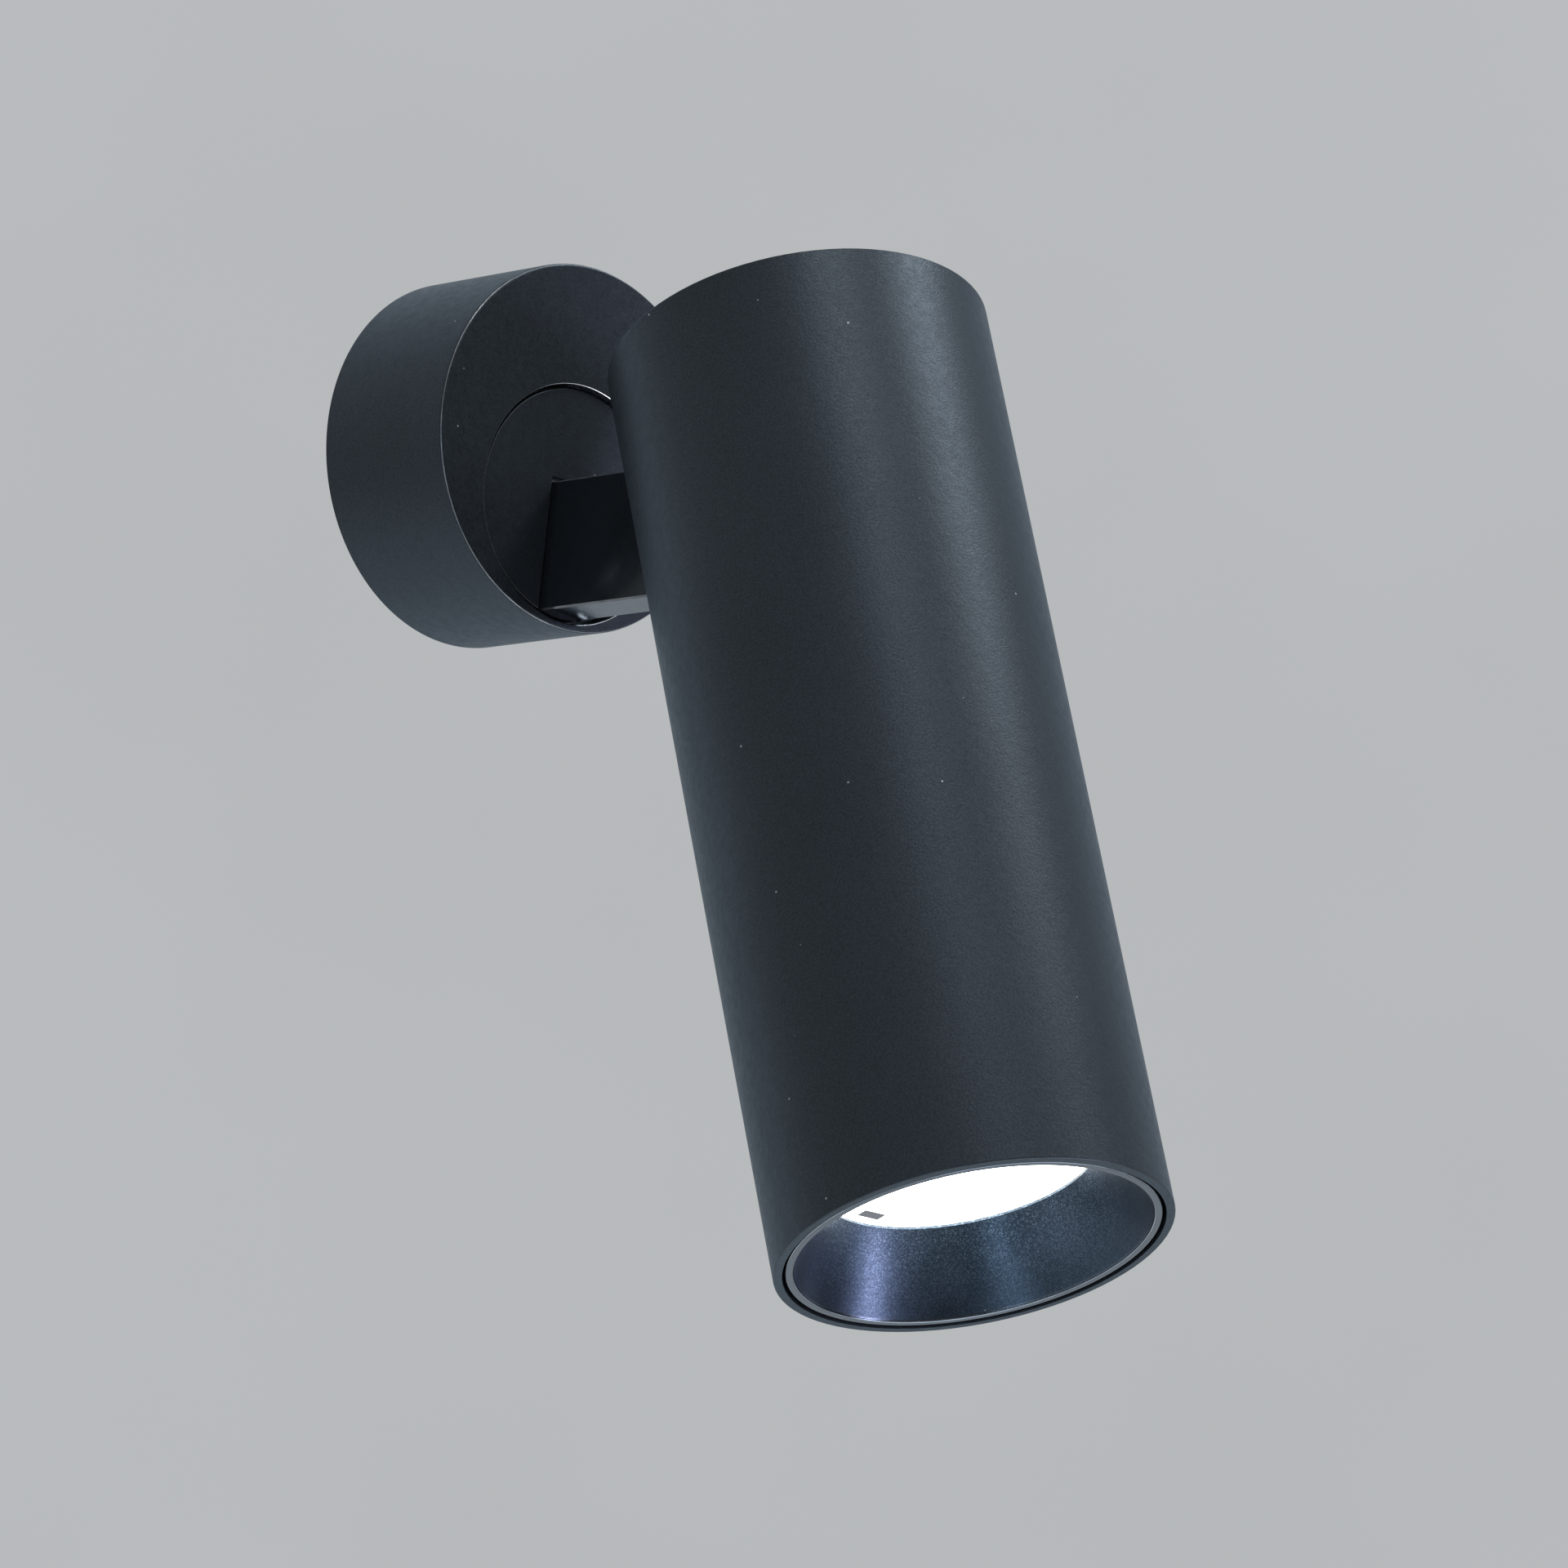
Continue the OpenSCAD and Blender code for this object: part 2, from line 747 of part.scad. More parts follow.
// Yoke: a round plate across the tube, two cheeks for the bolt, and two ears for the tube's screws
module yoke() {
    color(ALU) in_head() difference() {
        union() {
            rod(head_in_r - fit, yoke_bottom, yoke_top, fn_large);
            at_both_sides() cheek();
            at_both_sides() ear();
        }
        translate([-cheek_out - over, hinge_back, hinge_up]) rotate([0, 90, 0])
            cylinder(d = bolt_d, h = 2 * (cheek_out + over), $fn = fn_mid);
        at_tie_rods() rod(rod_d / 2, yoke_bottom - over, yoke_top + over);
        at_driver_screws() rod(driver_screw_d / 2, yoke_bottom - over, yoke_top + over);
        at_both_sides() at_yoke_screw() {
            countersink();
            cylinder(d = yoke_screw_d, h = head_r, $fn = fn_small);
        }
        wire_notch();
    }
}

module cheek() {
    foot = hinge_up - yoke_top;
    side_share = 0.95;
    translate([cheek_in, hinge_back, hinge_up]) rotate([90, 0, 90]) linear_extrude(cheek_t) {
        circle(r = cheek_r, $fn = fn_mid);
        side = cheek_r * side_share;
        polygon([[-cheek_foot, -foot], [cheek_foot, -foot], [side, 0], [-side, 0]]);
    }
}

module ear() {
    intersection() {
        rotate([0, 0, -ear_angle]) translate([-ear_w / 2, head_in_r - ear_dp, yoke_bottom])
            cube([ear_w, ear_dp, yoke_t + ear_h]);
        rod(head_in_r - fit, yoke_bottom, yoke_top + ear_h, fn_large);
    }
}

// On a yoke screw's axis, with +Z pointing into the head
module at_yoke_screw() {
    rotate([0, 0, -ear_angle]) translate([0, head_r, ear_up]) rotate([90, 0, 0]) children();
}

// The seat of a yoke screw's head, opened outwards past the tube
module countersink() {
    wide = yoke_screw_head_r + yoke_screw_sink + over;
    translate([0, 0, -over])
        cylinder(r1 = wide, r2 = yoke_screw_d / 2, h = wide - yoke_screw_d / 2, $fn = fn_small);
}

// The wires pass the plate at its front
module wire_notch() {
    translate([0, -head_in_r, 0]) rod(cable_d / 2, yoke_bottom - over, yoke_top + over, fn_mid);
}

module yoke_screws() {
    color(BLACK) in_head() at_both_sides() at_yoke_screw() {
        cone_h = yoke_screw_head_r - yoke_screw_d / 2;
        translate([0, 0, yoke_screw_sink])
            cylinder(r1 = yoke_screw_head_r, r2 = yoke_screw_d / 2, h = cone_h, $fn = fn_small);
        rod(yoke_screw_d / 2, yoke_screw_sink + cone_h, yoke_screw_len);
    }
}

// Head
module head_tube() {
    e = head_edge;
    outside = concat(arc(head_r - e, e, e, -90, 0), arc(head_r - e, head_len - e, e, 0, 90));
    color(BLACK) in_head() difference() {
        rotate_extrude($fn = fn_large)
            polygon(concat([[head_in_r, 0]], outside, [[head_in_r, head_len]]));
        arm_slot();
        at_both_sides() at_yoke_screw() {
            countersink();
            cylinder(d = yoke_screw_d, h = head_r / 2, $fn = fn_small);
        }
    }
}

// The slot runs from below the hinge up over the tube's end, on the side that faces the wall
module arm_slot() {
    w = slot_w / 2;
    c = slot_corner_r;
    outline = concat(
        arc(c - w, slot_bottom + c, c, 180, 270), arc(w - c, slot_bottom + c, c, 270, 360),
        [[w, head_len + over], [-w, head_len + over]]
    );
    translate([0, head_r + over, 0]) rotate([90, 0, 0]) linear_extrude(head_r) polygon(outline);
}

module end_cap() {
    notch = hinge_back - arm_h / 2 - slot_gap;
    r = head_in_r - fit;
    low = cap_top - cap_t;
    color(BLACK) in_head() difference() {
        union() {
            rod(r, low, cap_top, fn_large);
            ring(r, r - cap_skirt_t, low - cap_skirt, low, fn_large);
        }
        translate([-slot_w / 2, notch, low - cap_skirt - over])
            cube([slot_w, head_r, cap_t + cap_skirt + 2 * over]);
    }
}

module at_tie_rods() {
    at_both_sides() translate([rod_out, 0, 0]) children();
}

module tie_rods() {
    color(STEEL) in_head() at_tie_rods() rod(rod_d / 2, fin_up - rod_bite, yoke_top + rod_nut_t + rod_end);
}

module tie_nuts() {
    color(STEEL) in_head() at_tie_rods() hex_nut(rod_nut_w, rod_d / 2, yoke_top, yoke_top + rod_nut_t);
}

// Driver
module at_driver_screws() {
    at_both_sides() translate([driver_screw_out, -driver_screw_front, 0]) children();
}

module driver_case() {
    top = yoke_bottom - driver_lid_t;
    color(PLASTIC) in_head() difference() {
        soft_box(driver_w, driver_dp, driver_low, top, driver_corner);
        at_driver_screws() rod(driver_screw_d / 2, top - driver_bite, top + over);
    }
}

module driver_lid() {
    low = yoke_bottom - driver_lid_t;
    color(PLASTIC) in_head() difference() {
        soft_box(driver_w, driver_dp, low, yoke_bottom, driver_corner);
        at_driver_screws() rod(driver_screw_d / 2, low - over, yoke_bottom + over);
    }
}

module driver_screws() {
    color(STEEL) in_head() at_driver_screws() {
        rod(driver_screw_d / 2, yoke_bottom - driver_lid_t - driver_bite, yoke_top);
        soft_disc(driver_head_r, yoke_top, yoke_top + driver_head_t, driver_head_t / 2, fn_small);
    }
}

// Light source
module heat_sink() {
    side = 2 * head_in_r;
    fins = 2 * floor((head_in_r - fin_edge_gap) / fin_pitch);
    color(ALU) in_head() difference() {
        union() {
            rod(head_in_r - fit, sink_up, fin_up, fn_large);
            intersection() {
                rod(head_in_r - fin_edge_gap, sink_up, fin_up + fin_h, fn_large);
                for (i = [0 : fins - 1]) {
                    y = (i - (fins - 1) / 2) * fin_pitch;
                    translate([-side / 2, y - fin_t / 2, sink_up]) cube([side, fin_t, sink_base_t + fin_h]);
                }
            }
        }
        at_tie_rods() rod(rod_d / 2, fin_up - rod_bite, fin_up + over);
        at_cob_screws() rod(cob_screw_d / 2, sink_up - over, sink_up + cob_bite);
    }
}

// A square of the light board's size, between two heights
module board_block(grow, low, high) {
    w = board_w + 2 * grow;
    translate([-w / 2, -w / 2, low]) cube([w, w, high - low]);
}

module thermal_pad() {
    color(ZINC) in_head() board_block(0, pad_up, sink_up);
}

module cob_board() {
    color(PLASTIC) in_head() board_block(0, board_up, pad_up);
}

module cob_emitter() {
    color("#f4d24a") in_head() rod(neck_r - emitter_gap, board_up - emitter_t, board_up, fn_mid);
}

module cob_holder() {
    color(PLASTIC) in_head() difference() {
        ring(holder_r, neck_r, neck_up, sink_up, fn_mid);
        board_block(board_gap, board_up, sink_up + over);
        at_cob_screws() rod(cob_screw_d / 2, neck_up - over, sink_up + over);
    }
}

module at_cob_screws() {
    at_both_sides() translate([cob_screw_out, 0, 0]) children();
}

module cob_screws() {
    color(STEEL) in_head() at_cob_screws() {
        rod(cob_screw_d / 2, neck_up, sink_up + cob_bite);
        rod(cob_head_r, neck_up - cob_head_t, neck_up);
    }
}

// Radius of the bowl's inside, as steps from its rim to its neck, and the height at a radius
function bowl_r(i) = window_r + (neck_r - window_r) * i / bowl_steps;
function bowl_z(r) = neck_up - bowl_h * (pow(r, 2) - pow(neck_r, 2)) / (pow(window_r, 2) - pow(neck_r, 2));

module inner_reflector() {
    flange_up = seat_top + flange_t;
    flange_r = head_in_r - flange_gap;
    rim_r = window_r + bowl_wall;
    inside = [for (i = [0 : bowl_steps]) [bowl_r(i), bowl_z(bowl_r(i))]];
    outside = [for (p = reversed(inside)) if (p[1] > flange_up) [p[0] + bowl_wall, p[1]]];
    flange = [
        [rim_r, flange_up], [flange_r, flange_up], [flange_r, seat_top],
        [rim_r, seat_top], [rim_r, gasket_top]
    ];
    color(CHROME) in_head() rotate_extrude($fn = fn_large) polygon(concat(inside, outside, flange));
}

module seat_ring() {
    color(ALU) in_head() ring(head_in_r - fit, head_in_r - seat_w, gasket_top, seat_top, fn_large);
}

module lens_gasket() {
    color(RUBBER) in_head() ring(lens_r, gasket_in_r, lens_depth + lens_t, gasket_top, fn_large);
}

module lens() {
    color("white") in_head() rod(lens_r, lens_depth, lens_depth + lens_t, fn_large);
}

// Conical trim: a bright lip at the mouth, the cone up to the lens, a seat for the lens behind it,
// and a band that holds it in the tube. It is hollow between the cone and the skirt.
module trim_cone() {
    slope = (trim_in_r - window_r) / (lens_depth - window_land - lip_sink - lip_round);
    seat_out_r = lens_r + lens_gap + trim_wall;
    skirt_in_r = trim_out_r - lip_w;
    seat_low = lens_depth - trim_wall;
    meet_low = seat_low - (skirt_in_r - seat_out_r) / slope;
    hollow = [
        [skirt_in_r, trim_top], [skirt_in_r, meet_low], [seat_out_r, seat_low], [seat_out_r, trim_top]
    ];
    lip = arc(trim_in_r + lip_round, lip_sink + lip_round, lip_round, 180, 270);
    rim = arc(trim_out_r - lip_round, lip_sink + lip_round, lip_round, 270, 360);
    skirt = [
        [trim_out_r, band_low], [head_in_r - fit, band_low], [head_in_r - fit, band_high],
        [trim_out_r, band_high], [trim_out_r, trim_top]
    ];
    lens_seat = [
        [lens_r + lens_gap, trim_top], [lens_r + lens_gap, lens_depth],
        [window_r, lens_depth], [window_r, lens_depth - window_land]
    ];
    color(CHROME) in_head() rotate_extrude($fn = fn_large)
        polygon(concat(lip, rim, skirt, hollow, lens_seat));
}

wall_bracket();
cable_grommet();
earth_screw();
earth_washer();
terminal_block();
terminal_screws();
base_cup();
base_grub_screw();
bearing_plate();
bearing_plate_screws();
stop_pin();
slip_washer();
turret_carrier();
turret_cover();
wave_washer();
spindle_washer();
spindle_nut();
arm();
arm_grub_screws();
hinge_bolt();
hinge_washers();
hinge_lock_washer();
hinge_nut();
yoke();
yoke_screws();
head_tube();
end_cap();
tie_rods();
tie_nuts();
driver_case();
driver_lid();
driver_screws();
heat_sink();
thermal_pad();
cob_board();
cob_emitter();
cob_holder();
cob_screws();
inner_reflector();
seat_ring();
lens_gasket();
lens();
trim_cone();
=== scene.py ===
import json
import math

import bpy
from mathutils import Matrix, Vector


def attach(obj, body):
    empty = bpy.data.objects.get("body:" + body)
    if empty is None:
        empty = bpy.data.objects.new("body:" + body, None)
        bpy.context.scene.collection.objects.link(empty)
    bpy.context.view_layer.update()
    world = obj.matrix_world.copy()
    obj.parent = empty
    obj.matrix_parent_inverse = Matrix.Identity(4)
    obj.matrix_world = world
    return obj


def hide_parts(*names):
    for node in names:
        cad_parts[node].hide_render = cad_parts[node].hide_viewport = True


bl_info = {
    "name": "Pivoting spotlight",
    "version": (1, 0, 0),
    "blender": (4, 5, 0),
    "location": "3D View > Sidebar > Spotlight",
    "description": "Finishes and detail of a wall light with a turning disc, a flat arm and a tilting head",
    "category": "Object",
}

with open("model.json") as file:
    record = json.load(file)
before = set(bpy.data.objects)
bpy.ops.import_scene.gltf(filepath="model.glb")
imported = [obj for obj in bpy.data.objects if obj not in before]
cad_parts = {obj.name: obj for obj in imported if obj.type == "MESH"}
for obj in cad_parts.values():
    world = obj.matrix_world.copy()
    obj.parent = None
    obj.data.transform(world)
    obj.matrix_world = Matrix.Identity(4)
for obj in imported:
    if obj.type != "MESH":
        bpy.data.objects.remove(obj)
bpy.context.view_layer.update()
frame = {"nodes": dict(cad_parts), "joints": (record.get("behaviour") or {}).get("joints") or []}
NODES = frame["nodes"]
JOINTS = {joint["name"]: joint for joint in frame["joints"]}

# Lengths are in metres and angles in degrees
MM = 0.001
BOTH_SIDES = (-1, 1)

# Places in the head, repeated from the part's source, and the turning disc with the gap round it
HINGE = Vector(JOINTS["head_tilt"]["pos_m"])
HEAD_TILT = 22.0
HINGE_UP = 132.15 * MM
HINGE_BACK = 17.0 * MM
HEAD_R = 30.2 * MM
YOKE_TOP = 120.65 * MM
TIE_ROD_OUT = 22.5 * MM
TURRET_R = NODES["turret_cover"].dimensions.x / 2
TURRET_GAP = 0.6 * MM

# Frames of base, disc and head: +Z out of the wall, and +Z up the head's axis from its mouth
WALL_FRAME = Matrix.Rotation(math.radians(90), 4, "X")
TURRET_FRAME = Matrix.Translation(JOINTS["turret_turn"]["pos_m"]) @ WALL_FRAME
HEAD_FRAME = (
    Matrix.Translation(HINGE)
    @ Matrix.Rotation(math.radians(-HEAD_TILT), 4, "X")
    @ Matrix.Translation((0, -HINGE_BACK, -HINGE_UP))
)

# Axes of the coated shells and the trim: their worn edges run round the faces across these
WALL_AXIS = (0, 1, 0)
ARM_AXIS = (1, 0, 0)
HEAD_AXIS = HEAD_FRAME.to_3x3().col[2]

# Places of the screws in the frames of head and base, repeated from the part's source
BOARD_SCREW_OUT = 12.9 * MM
BOARD_SCREW_FACE = 35.4 * MM
DRIVER_SCREW_OUT = 10.0 * MM
DRIVER_SCREW_FORWARD = 9.0 * MM
DRIVER_SCREW_FACE = 122.45 * MM
YOKE_SCREW_ANGLE = 29.99
YOKE_SCREW_ABOVE = 3.2 * MM
YOKE_SCREW_SUNK = 0.1 * MM
PLATE_SCREW_ANGLES = (90, -14, 194)
PLATE_SCREW_CIRCLE_R = 24.2 * MM
PLATE_SCREW_FACE = 16.1 * MM
EARTH_SCREW_PLACE = (-12.964 * MM, 16.009 * MM, 4.7 * MM)
TERMINAL_MIDDLE = 6.0 * MM
TERMINAL_PITCH = 7.0 * MM
TERMINAL_UP = 15.0 * MM
TERMINAL_SCREW_FACE = 9.3 * MM

# Blades of slot and cross drivers: thickness and tip as shares of the width and of the root, and turns
BLADE_THICKNESS_SHARE = {"slot": 0.14, "cross": 0.2}
BLADE_TIP_SHARE = {"slot": 0.96, "cross": 0.45}
BLADE_TURNS = {"slot": (0,), "cross": (0, 90)}

# The trim's lip, and the lens with its mark, in the head's frame
LIP_UP = 0.5 * MM
LIP_BLEND = 0.3 * MM
LENS_WARM_R = 19.6 * MM
LENS_RIM_R = 21.1 * MM
MARK_RIGHT = -0.3 * MM
MARK_BACK = 18.5 * MM
MARK_HALF_WIDTH = 2.1 * MM
MARK_HALF_HEIGHT = 0.9 * MM

# Colours that more than one finish uses, and how bare the disc has rubbed the edge of its hole
STEEL = (0.56, 0.56, 0.57)
BARE_METAL = (0.68, 0.70, 0.73)
RUBBED_WEAR = 3.0

# The photograph's camera, solved from the outlines of base, arm and tube
CAMERA_PLACE = (-0.767009, -0.904053, -0.279273)
CAMERA_AZIMUTH = -43.0778
CAMERA_PITCH = 101.0735
CAMERA_ROLL = 5.8056

# Floor and backdrop, and the middle of the light, which every lamp faces
FLOOR_WIDTH = 8.0
FLOOR_DEPTH = 6.0
BACKDROP_HEIGHT = 5.0
BACKDROP_BEND = 1.2
STAGE_TURN = -43.0
PAPER = (0.95, 0.98, 1.0)
FLOOR_TONE = 0.88
LIT_MIDDLE = Vector((0, -0.08, -0.06))

# Pale windows of the surroundings: direction, how near to it they start to show, and brightness
WINDOWS = (
    ((0.67, 0.72, 0.15), 0.2, 1.5),
    ((-0.3, -0.6, 0.75), 0.4, 0.36),
    ((-0.7, 0.62, 0.35), 0.4, 0.34),
)


# Settings


class SpotlightCoat(bpy.types.PropertyGroup):
    """Finish of the coated shells"""

    colour: bpy.props.FloatVectorProperty(
        name="Colour", description="Colour of the powder coat", subtype="COLOR", size=3,
        min=0, max=1, default=(0.030, 0.037, 0.045),
    )
    sheen_colour: bpy.props.FloatVectorProperty(
        name="Sheen colour", description="Tint that the coat gives to what it reflects",
        subtype="COLOR", size=3, min=0, max=1, default=(0.70, 0.86, 1.0),
    )
    sheen_roughness: bpy.props.FloatProperty(
        name="Roughness", description="Mean roughness of the powder coat", subtype="FACTOR",
        min=0.1, max=1, default=0.42,
    )
    edge_wear: bpy.props.FloatProperty(
        name="Edge wear", description="How much metal shows through the coat along rounded edges",
        subtype="FACTOR", min=0, max=1, default=0.26,
    )
    flake: bpy.props.FloatProperty(
        name="Flake", description="Share of fine metal flake in the powder coat", subtype="FACTOR",
        min=0, max=1, default=0.65,
    )
    grain: bpy.props.FloatProperty(
        name="Grain", description="Width of one grain of the coat's texture", unit="LENGTH",
        subtype="DISTANCE", min=0.0001, max=0.002, default=0.00032,
    )
    grain_depth: bpy.props.FloatProperty(
        name="Grain depth", description="Height of the coat's texture", unit="LENGTH",
        subtype="DISTANCE", min=0, max=0.0005, default=0.00003,
    )


class SpotlightMouth(bpy.types.PropertyGroup):
    """Finish of the trim and the lit lens"""

    trim_colour: bpy.props.FloatVectorProperty(
        name="Trim colour", description="Reflected colour of the dark conical trim", subtype="COLOR", size=3,
        min=0, max=1, default=(0.036, 0.054, 0.080),
    )
    trim_roughness: bpy.props.FloatProperty(
        name="Trim roughness", description="Mean roughness of the conical trim", subtype="FACTOR",
        min=0.02, max=1, default=0.34,
    )
    lip_colour: bpy.props.FloatVectorProperty(
        name="Lip colour", description="Reflected colour of the trim's polished lip", subtype="COLOR", size=3,
        min=0, max=1, default=(0.085, 0.11, 0.14),
    )
    light_colour: bpy.props.FloatVectorProperty(
        name="Light colour", description="Colour of the lit lens", subtype="COLOR", size=3,
        min=0, max=1, default=(1.0, 0.985, 0.96),
    )
    light_strength: bpy.props.FloatProperty(
        name="Light strength", description="Brightness of the lit lens", min=0, max=20, default=8.0,
    )


class SpotlightStage(bpy.types.PropertyGroup):
    """Camera, lights and surroundings"""

    focal_length: bpy.props.FloatProperty(
        name="Focal length", description="Focal length of the camera in millimetres", min=20, max=400,
        default=170.2045,
    )
    key_power: bpy.props.FloatProperty(
        name="Key light", description="Power of the soft light high at the right",
        subtype="POWER", unit="POWER", min=0, max=500, default=7.4,
    )
    top_power: bpy.props.FloatProperty(
        name="Top light", description="Power of the soft light overhead",
        subtype="POWER", unit="POWER", min=0, max=500, default=4.5,
    )
    front_power: bpy.props.FloatProperty(
        name="Front light", description="Power of the tall cool light at the front right",
        subtype="POWER", unit="POWER", min=0, max=500, default=6.8,
    )
    left_power: bpy.props.FloatProperty(
        name="Left light", description="Power of the small light at the left",
        subtype="POWER", unit="POWER", min=0, max=500, default=3.0,
    )
    low_power: bpy.props.FloatProperty(
        name="Low light", description="Power of the broad light below",
        subtype="POWER", unit="POWER", min=0, max=500, default=4.0,
    )
    air_level: bpy.props.FloatProperty(
        name="Air", description="Brightness of the soft light that comes from all round",
        min=0, max=2, default=0.1,
    )
    backdrop_level: bpy.props.FloatProperty(
        name="Backdrop", description="Brightness of the backdrop behind the light", subtype="FACTOR",
        min=0, max=1, default=0.5,
    )
    floor_drop: bpy.props.FloatProperty(
        name="Mounting height", description="Height of the wall base above the floor", unit="LENGTH",
        subtype="DISTANCE", min=0.6, max=3, default=1.5,
    )


# Node helpers

# Sockets of a Mix node that mixes colours
MIX_FACTOR, MIX_A, MIX_B, MIX_RESULT = 0, 6, 7, 2


def feed(tree, node, inputs):
    """Sets inputs of a node, or links them where the value is an output."""
    for key, value in inputs.items():
        if isinstance(value, bpy.types.NodeSocket):
            tree.links.new(value, node.inputs[key])
        else:
            node.inputs[key].default_value = value


def put(tree, kind, inputs, **settings):
    """Adds a node with its settings, and sets or links its inputs."""
    node = tree.nodes.new(kind)
    for name, value in settings.items():
        setattr(node, name, value)
    feed(tree, node, inputs)
    return node


def maths(tree, operation, a, b=0.0, clamp=False):
    """The result of an operation on one or two numbers."""
    return put(tree, "ShaderNodeMath", {0: a, 1: b}, operation=operation, use_clamp=clamp).outputs[0]


def spread(tree, value, low, high, to_low=0.0, to_high=1.0, smooth=False):
    """Maps a value from one range to another."""
    node = put(
        tree, "ShaderNodeMapRange",
        {"Value": value, "From Min": low, "From Max": high, "To Min": to_low, "To Max": to_high},
        interpolation_type="SMOOTHSTEP" if smooth else "LINEAR",
    )
    return node.outputs["Result"]


def noise(tree, vector, scale, detail):
    """Soft noise, mostly between 0.3 and 0.7. Its scale is about the number of spots in a metre."""
    node = put(tree, "ShaderNodeTexNoise", {"Vector": vector, "Scale": scale, "Detail": detail})
    return node.outputs["Fac"]


def vary(tree, noise_value, low, high):
    """Maps what a noise mostly gives to a range."""
    return spread(tree, noise_value, 0.3, 0.7, low, high)


def dot(tree, a, b):
    """How far one direction points along another."""
    return put(tree, "ShaderNodeVectorMath", {0: a, 1: b}, operation="DOT_PRODUCT").outputs["Value"]


def blend_colour(tree, factor, a, b):
    """Mixes two colours, each plain or an output."""
    a, b = (end if isinstance(end, bpy.types.NodeSocket) else (*end[:3], 1) for end in (a, b))
    node = put(tree, "ShaderNodeMix", {MIX_FACTOR: factor, MIX_A: a, MIX_B: b}, data_type="RGBA")
    return node.outputs[MIX_RESULT]


def coordinates(tree, vector):
    """The three coordinates of a place, as outputs."""
    return put(tree, "ShaderNodeSeparateXYZ", {"Vector": vector}).outputs


def radius_of(tree, parts):
    """Distance from the local Z axis, worked out from a place's coordinates."""
    squares = [maths(tree, "MULTIPLY", part, part) for part in (parts[0], parts[1])]
    return maths(tree, "SQRT", maths(tree, "ADD", *squares))


def chance_of(tree, cells):
    """A number from 0 to 1 that differs from one cell of a Voronoi texture to the next."""
    return put(tree, "ShaderNodeSeparateColor", {"Color": cells["Color"]}).outputs[0]


def new_group(name, inputs, outputs):
    """An empty shader node group. Returns its tree, what it is given, and the node that takes its results."""
    tree = bpy.data.node_groups.new(name, "ShaderNodeTree")
    kinds = {"vector": "NodeSocketVector", "float": "NodeSocketFloat"}
    for label, kind, default in inputs:
        socket = tree.interface.new_socket(name=label, in_out="INPUT", socket_type=kinds[kind])
        if default is not None:
            socket.default_value = default
    for label in outputs:
        tree.interface.new_socket(name=label, in_out="OUTPUT", socket_type=kinds["float"])
    return tree, tree.nodes.new("NodeGroupInput").outputs, tree.nodes.new("NodeGroupOutput")


def use_group(tree, name, inputs):
    """Places a shared effect and returns its outputs."""
    return put(tree, "ShaderNodeGroup", inputs, node_tree=bpy.data.node_groups[name]).outputs


# Surface effects that the finishes share


def make_powder_grain():
    """Fine stipple of a powder coat: a height, a tone that varies a little, and a roughness change."""
    tree, given, result = new_group(
        "powder_grain", [("Vector", "vector", None), ("Grain", "float", 0.3 * MM)],
        ["Height", "Tone", "Rough"],
    )
    scale = maths(tree, "DIVIDE", 1.0, given["Grain"])
    fine = noise(tree, given["Vector"], scale, detail=3.0)
    wide = noise(tree, given["Vector"], maths(tree, "MULTIPLY", scale, 0.22), detail=2.0)
    cloud = noise(tree, given["Vector"], 38.0, detail=2.0)
    speckle = vary(tree, fine, 0.75, 1.25)
    drift = spread(tree, cloud, 0.35, 0.65, -0.05, 0.05)
    feed(tree, result, {
        "Height": maths(tree, "ADD", fine, maths(tree, "MULTIPLY", wide, 0.8)),
        "Tone": maths(tree, "ADD", speckle, drift),
        "Rough": vary(tree, wide, -0.04, 0.04),
    })


def make_dust():
    """A few pale specks of dust, scattered far apart."""
    tree, given, result = new_group(
        "dust", [("Vector", "vector", None), ("Spacing", "float", 10 * MM), ("Size", "float", 0.2 * MM)],
        ["Mask"],
    )
    scale = maths(tree, "DIVIDE", 1.0, given["Spacing"])
    cells = put(tree, "ShaderNodeTexVoronoi", {"Vector": given["Vector"], "Scale": scale}).outputs
    near = maths(tree, "LESS_THAN", cells["Distance"], maths(tree, "MULTIPLY", given["Size"], scale))
    chosen = maths(tree, "GREATER_THAN", chance_of(tree, cells), 0.6)
    feed(tree, result, {"Mask": maths(tree, "MULTIPLY", near, chosen)})


def make_thin_edges():
    """Where a coat runs thin: the rounded edges between a piece's sides and the faces across its axis."""
    tree, given, result = new_group(
        "thin_edges",
        [("Vector", "vector", None), ("Facing", "vector", None), ("Axis", "vector", WALL_AXIS)],
        ["Mask"],
    )
    # The slope is 0 on sides and end faces, and 1 halfway round the edge between them
    along = dot(tree, given["Facing"], given["Axis"])
    square = maths(tree, "MULTIPLY", along, along)
    rest = maths(tree, "SUBTRACT", 1.0, square)
    slope = maths(tree, "MULTIPLY", maths(tree, "MULTIPLY", square, rest), 4.0)
    rounded = spread(tree, slope, 0.7, 1.0, smooth=True)
    patches = noise(tree, given["Vector"], 260.0, detail=3.0)
    uneven = spread(tree, patches, 0.3, 0.62, 0.45, 1.0)
    feed(tree, result, {"Mask": maths(tree, "MULTIPLY", rounded, uneven)})


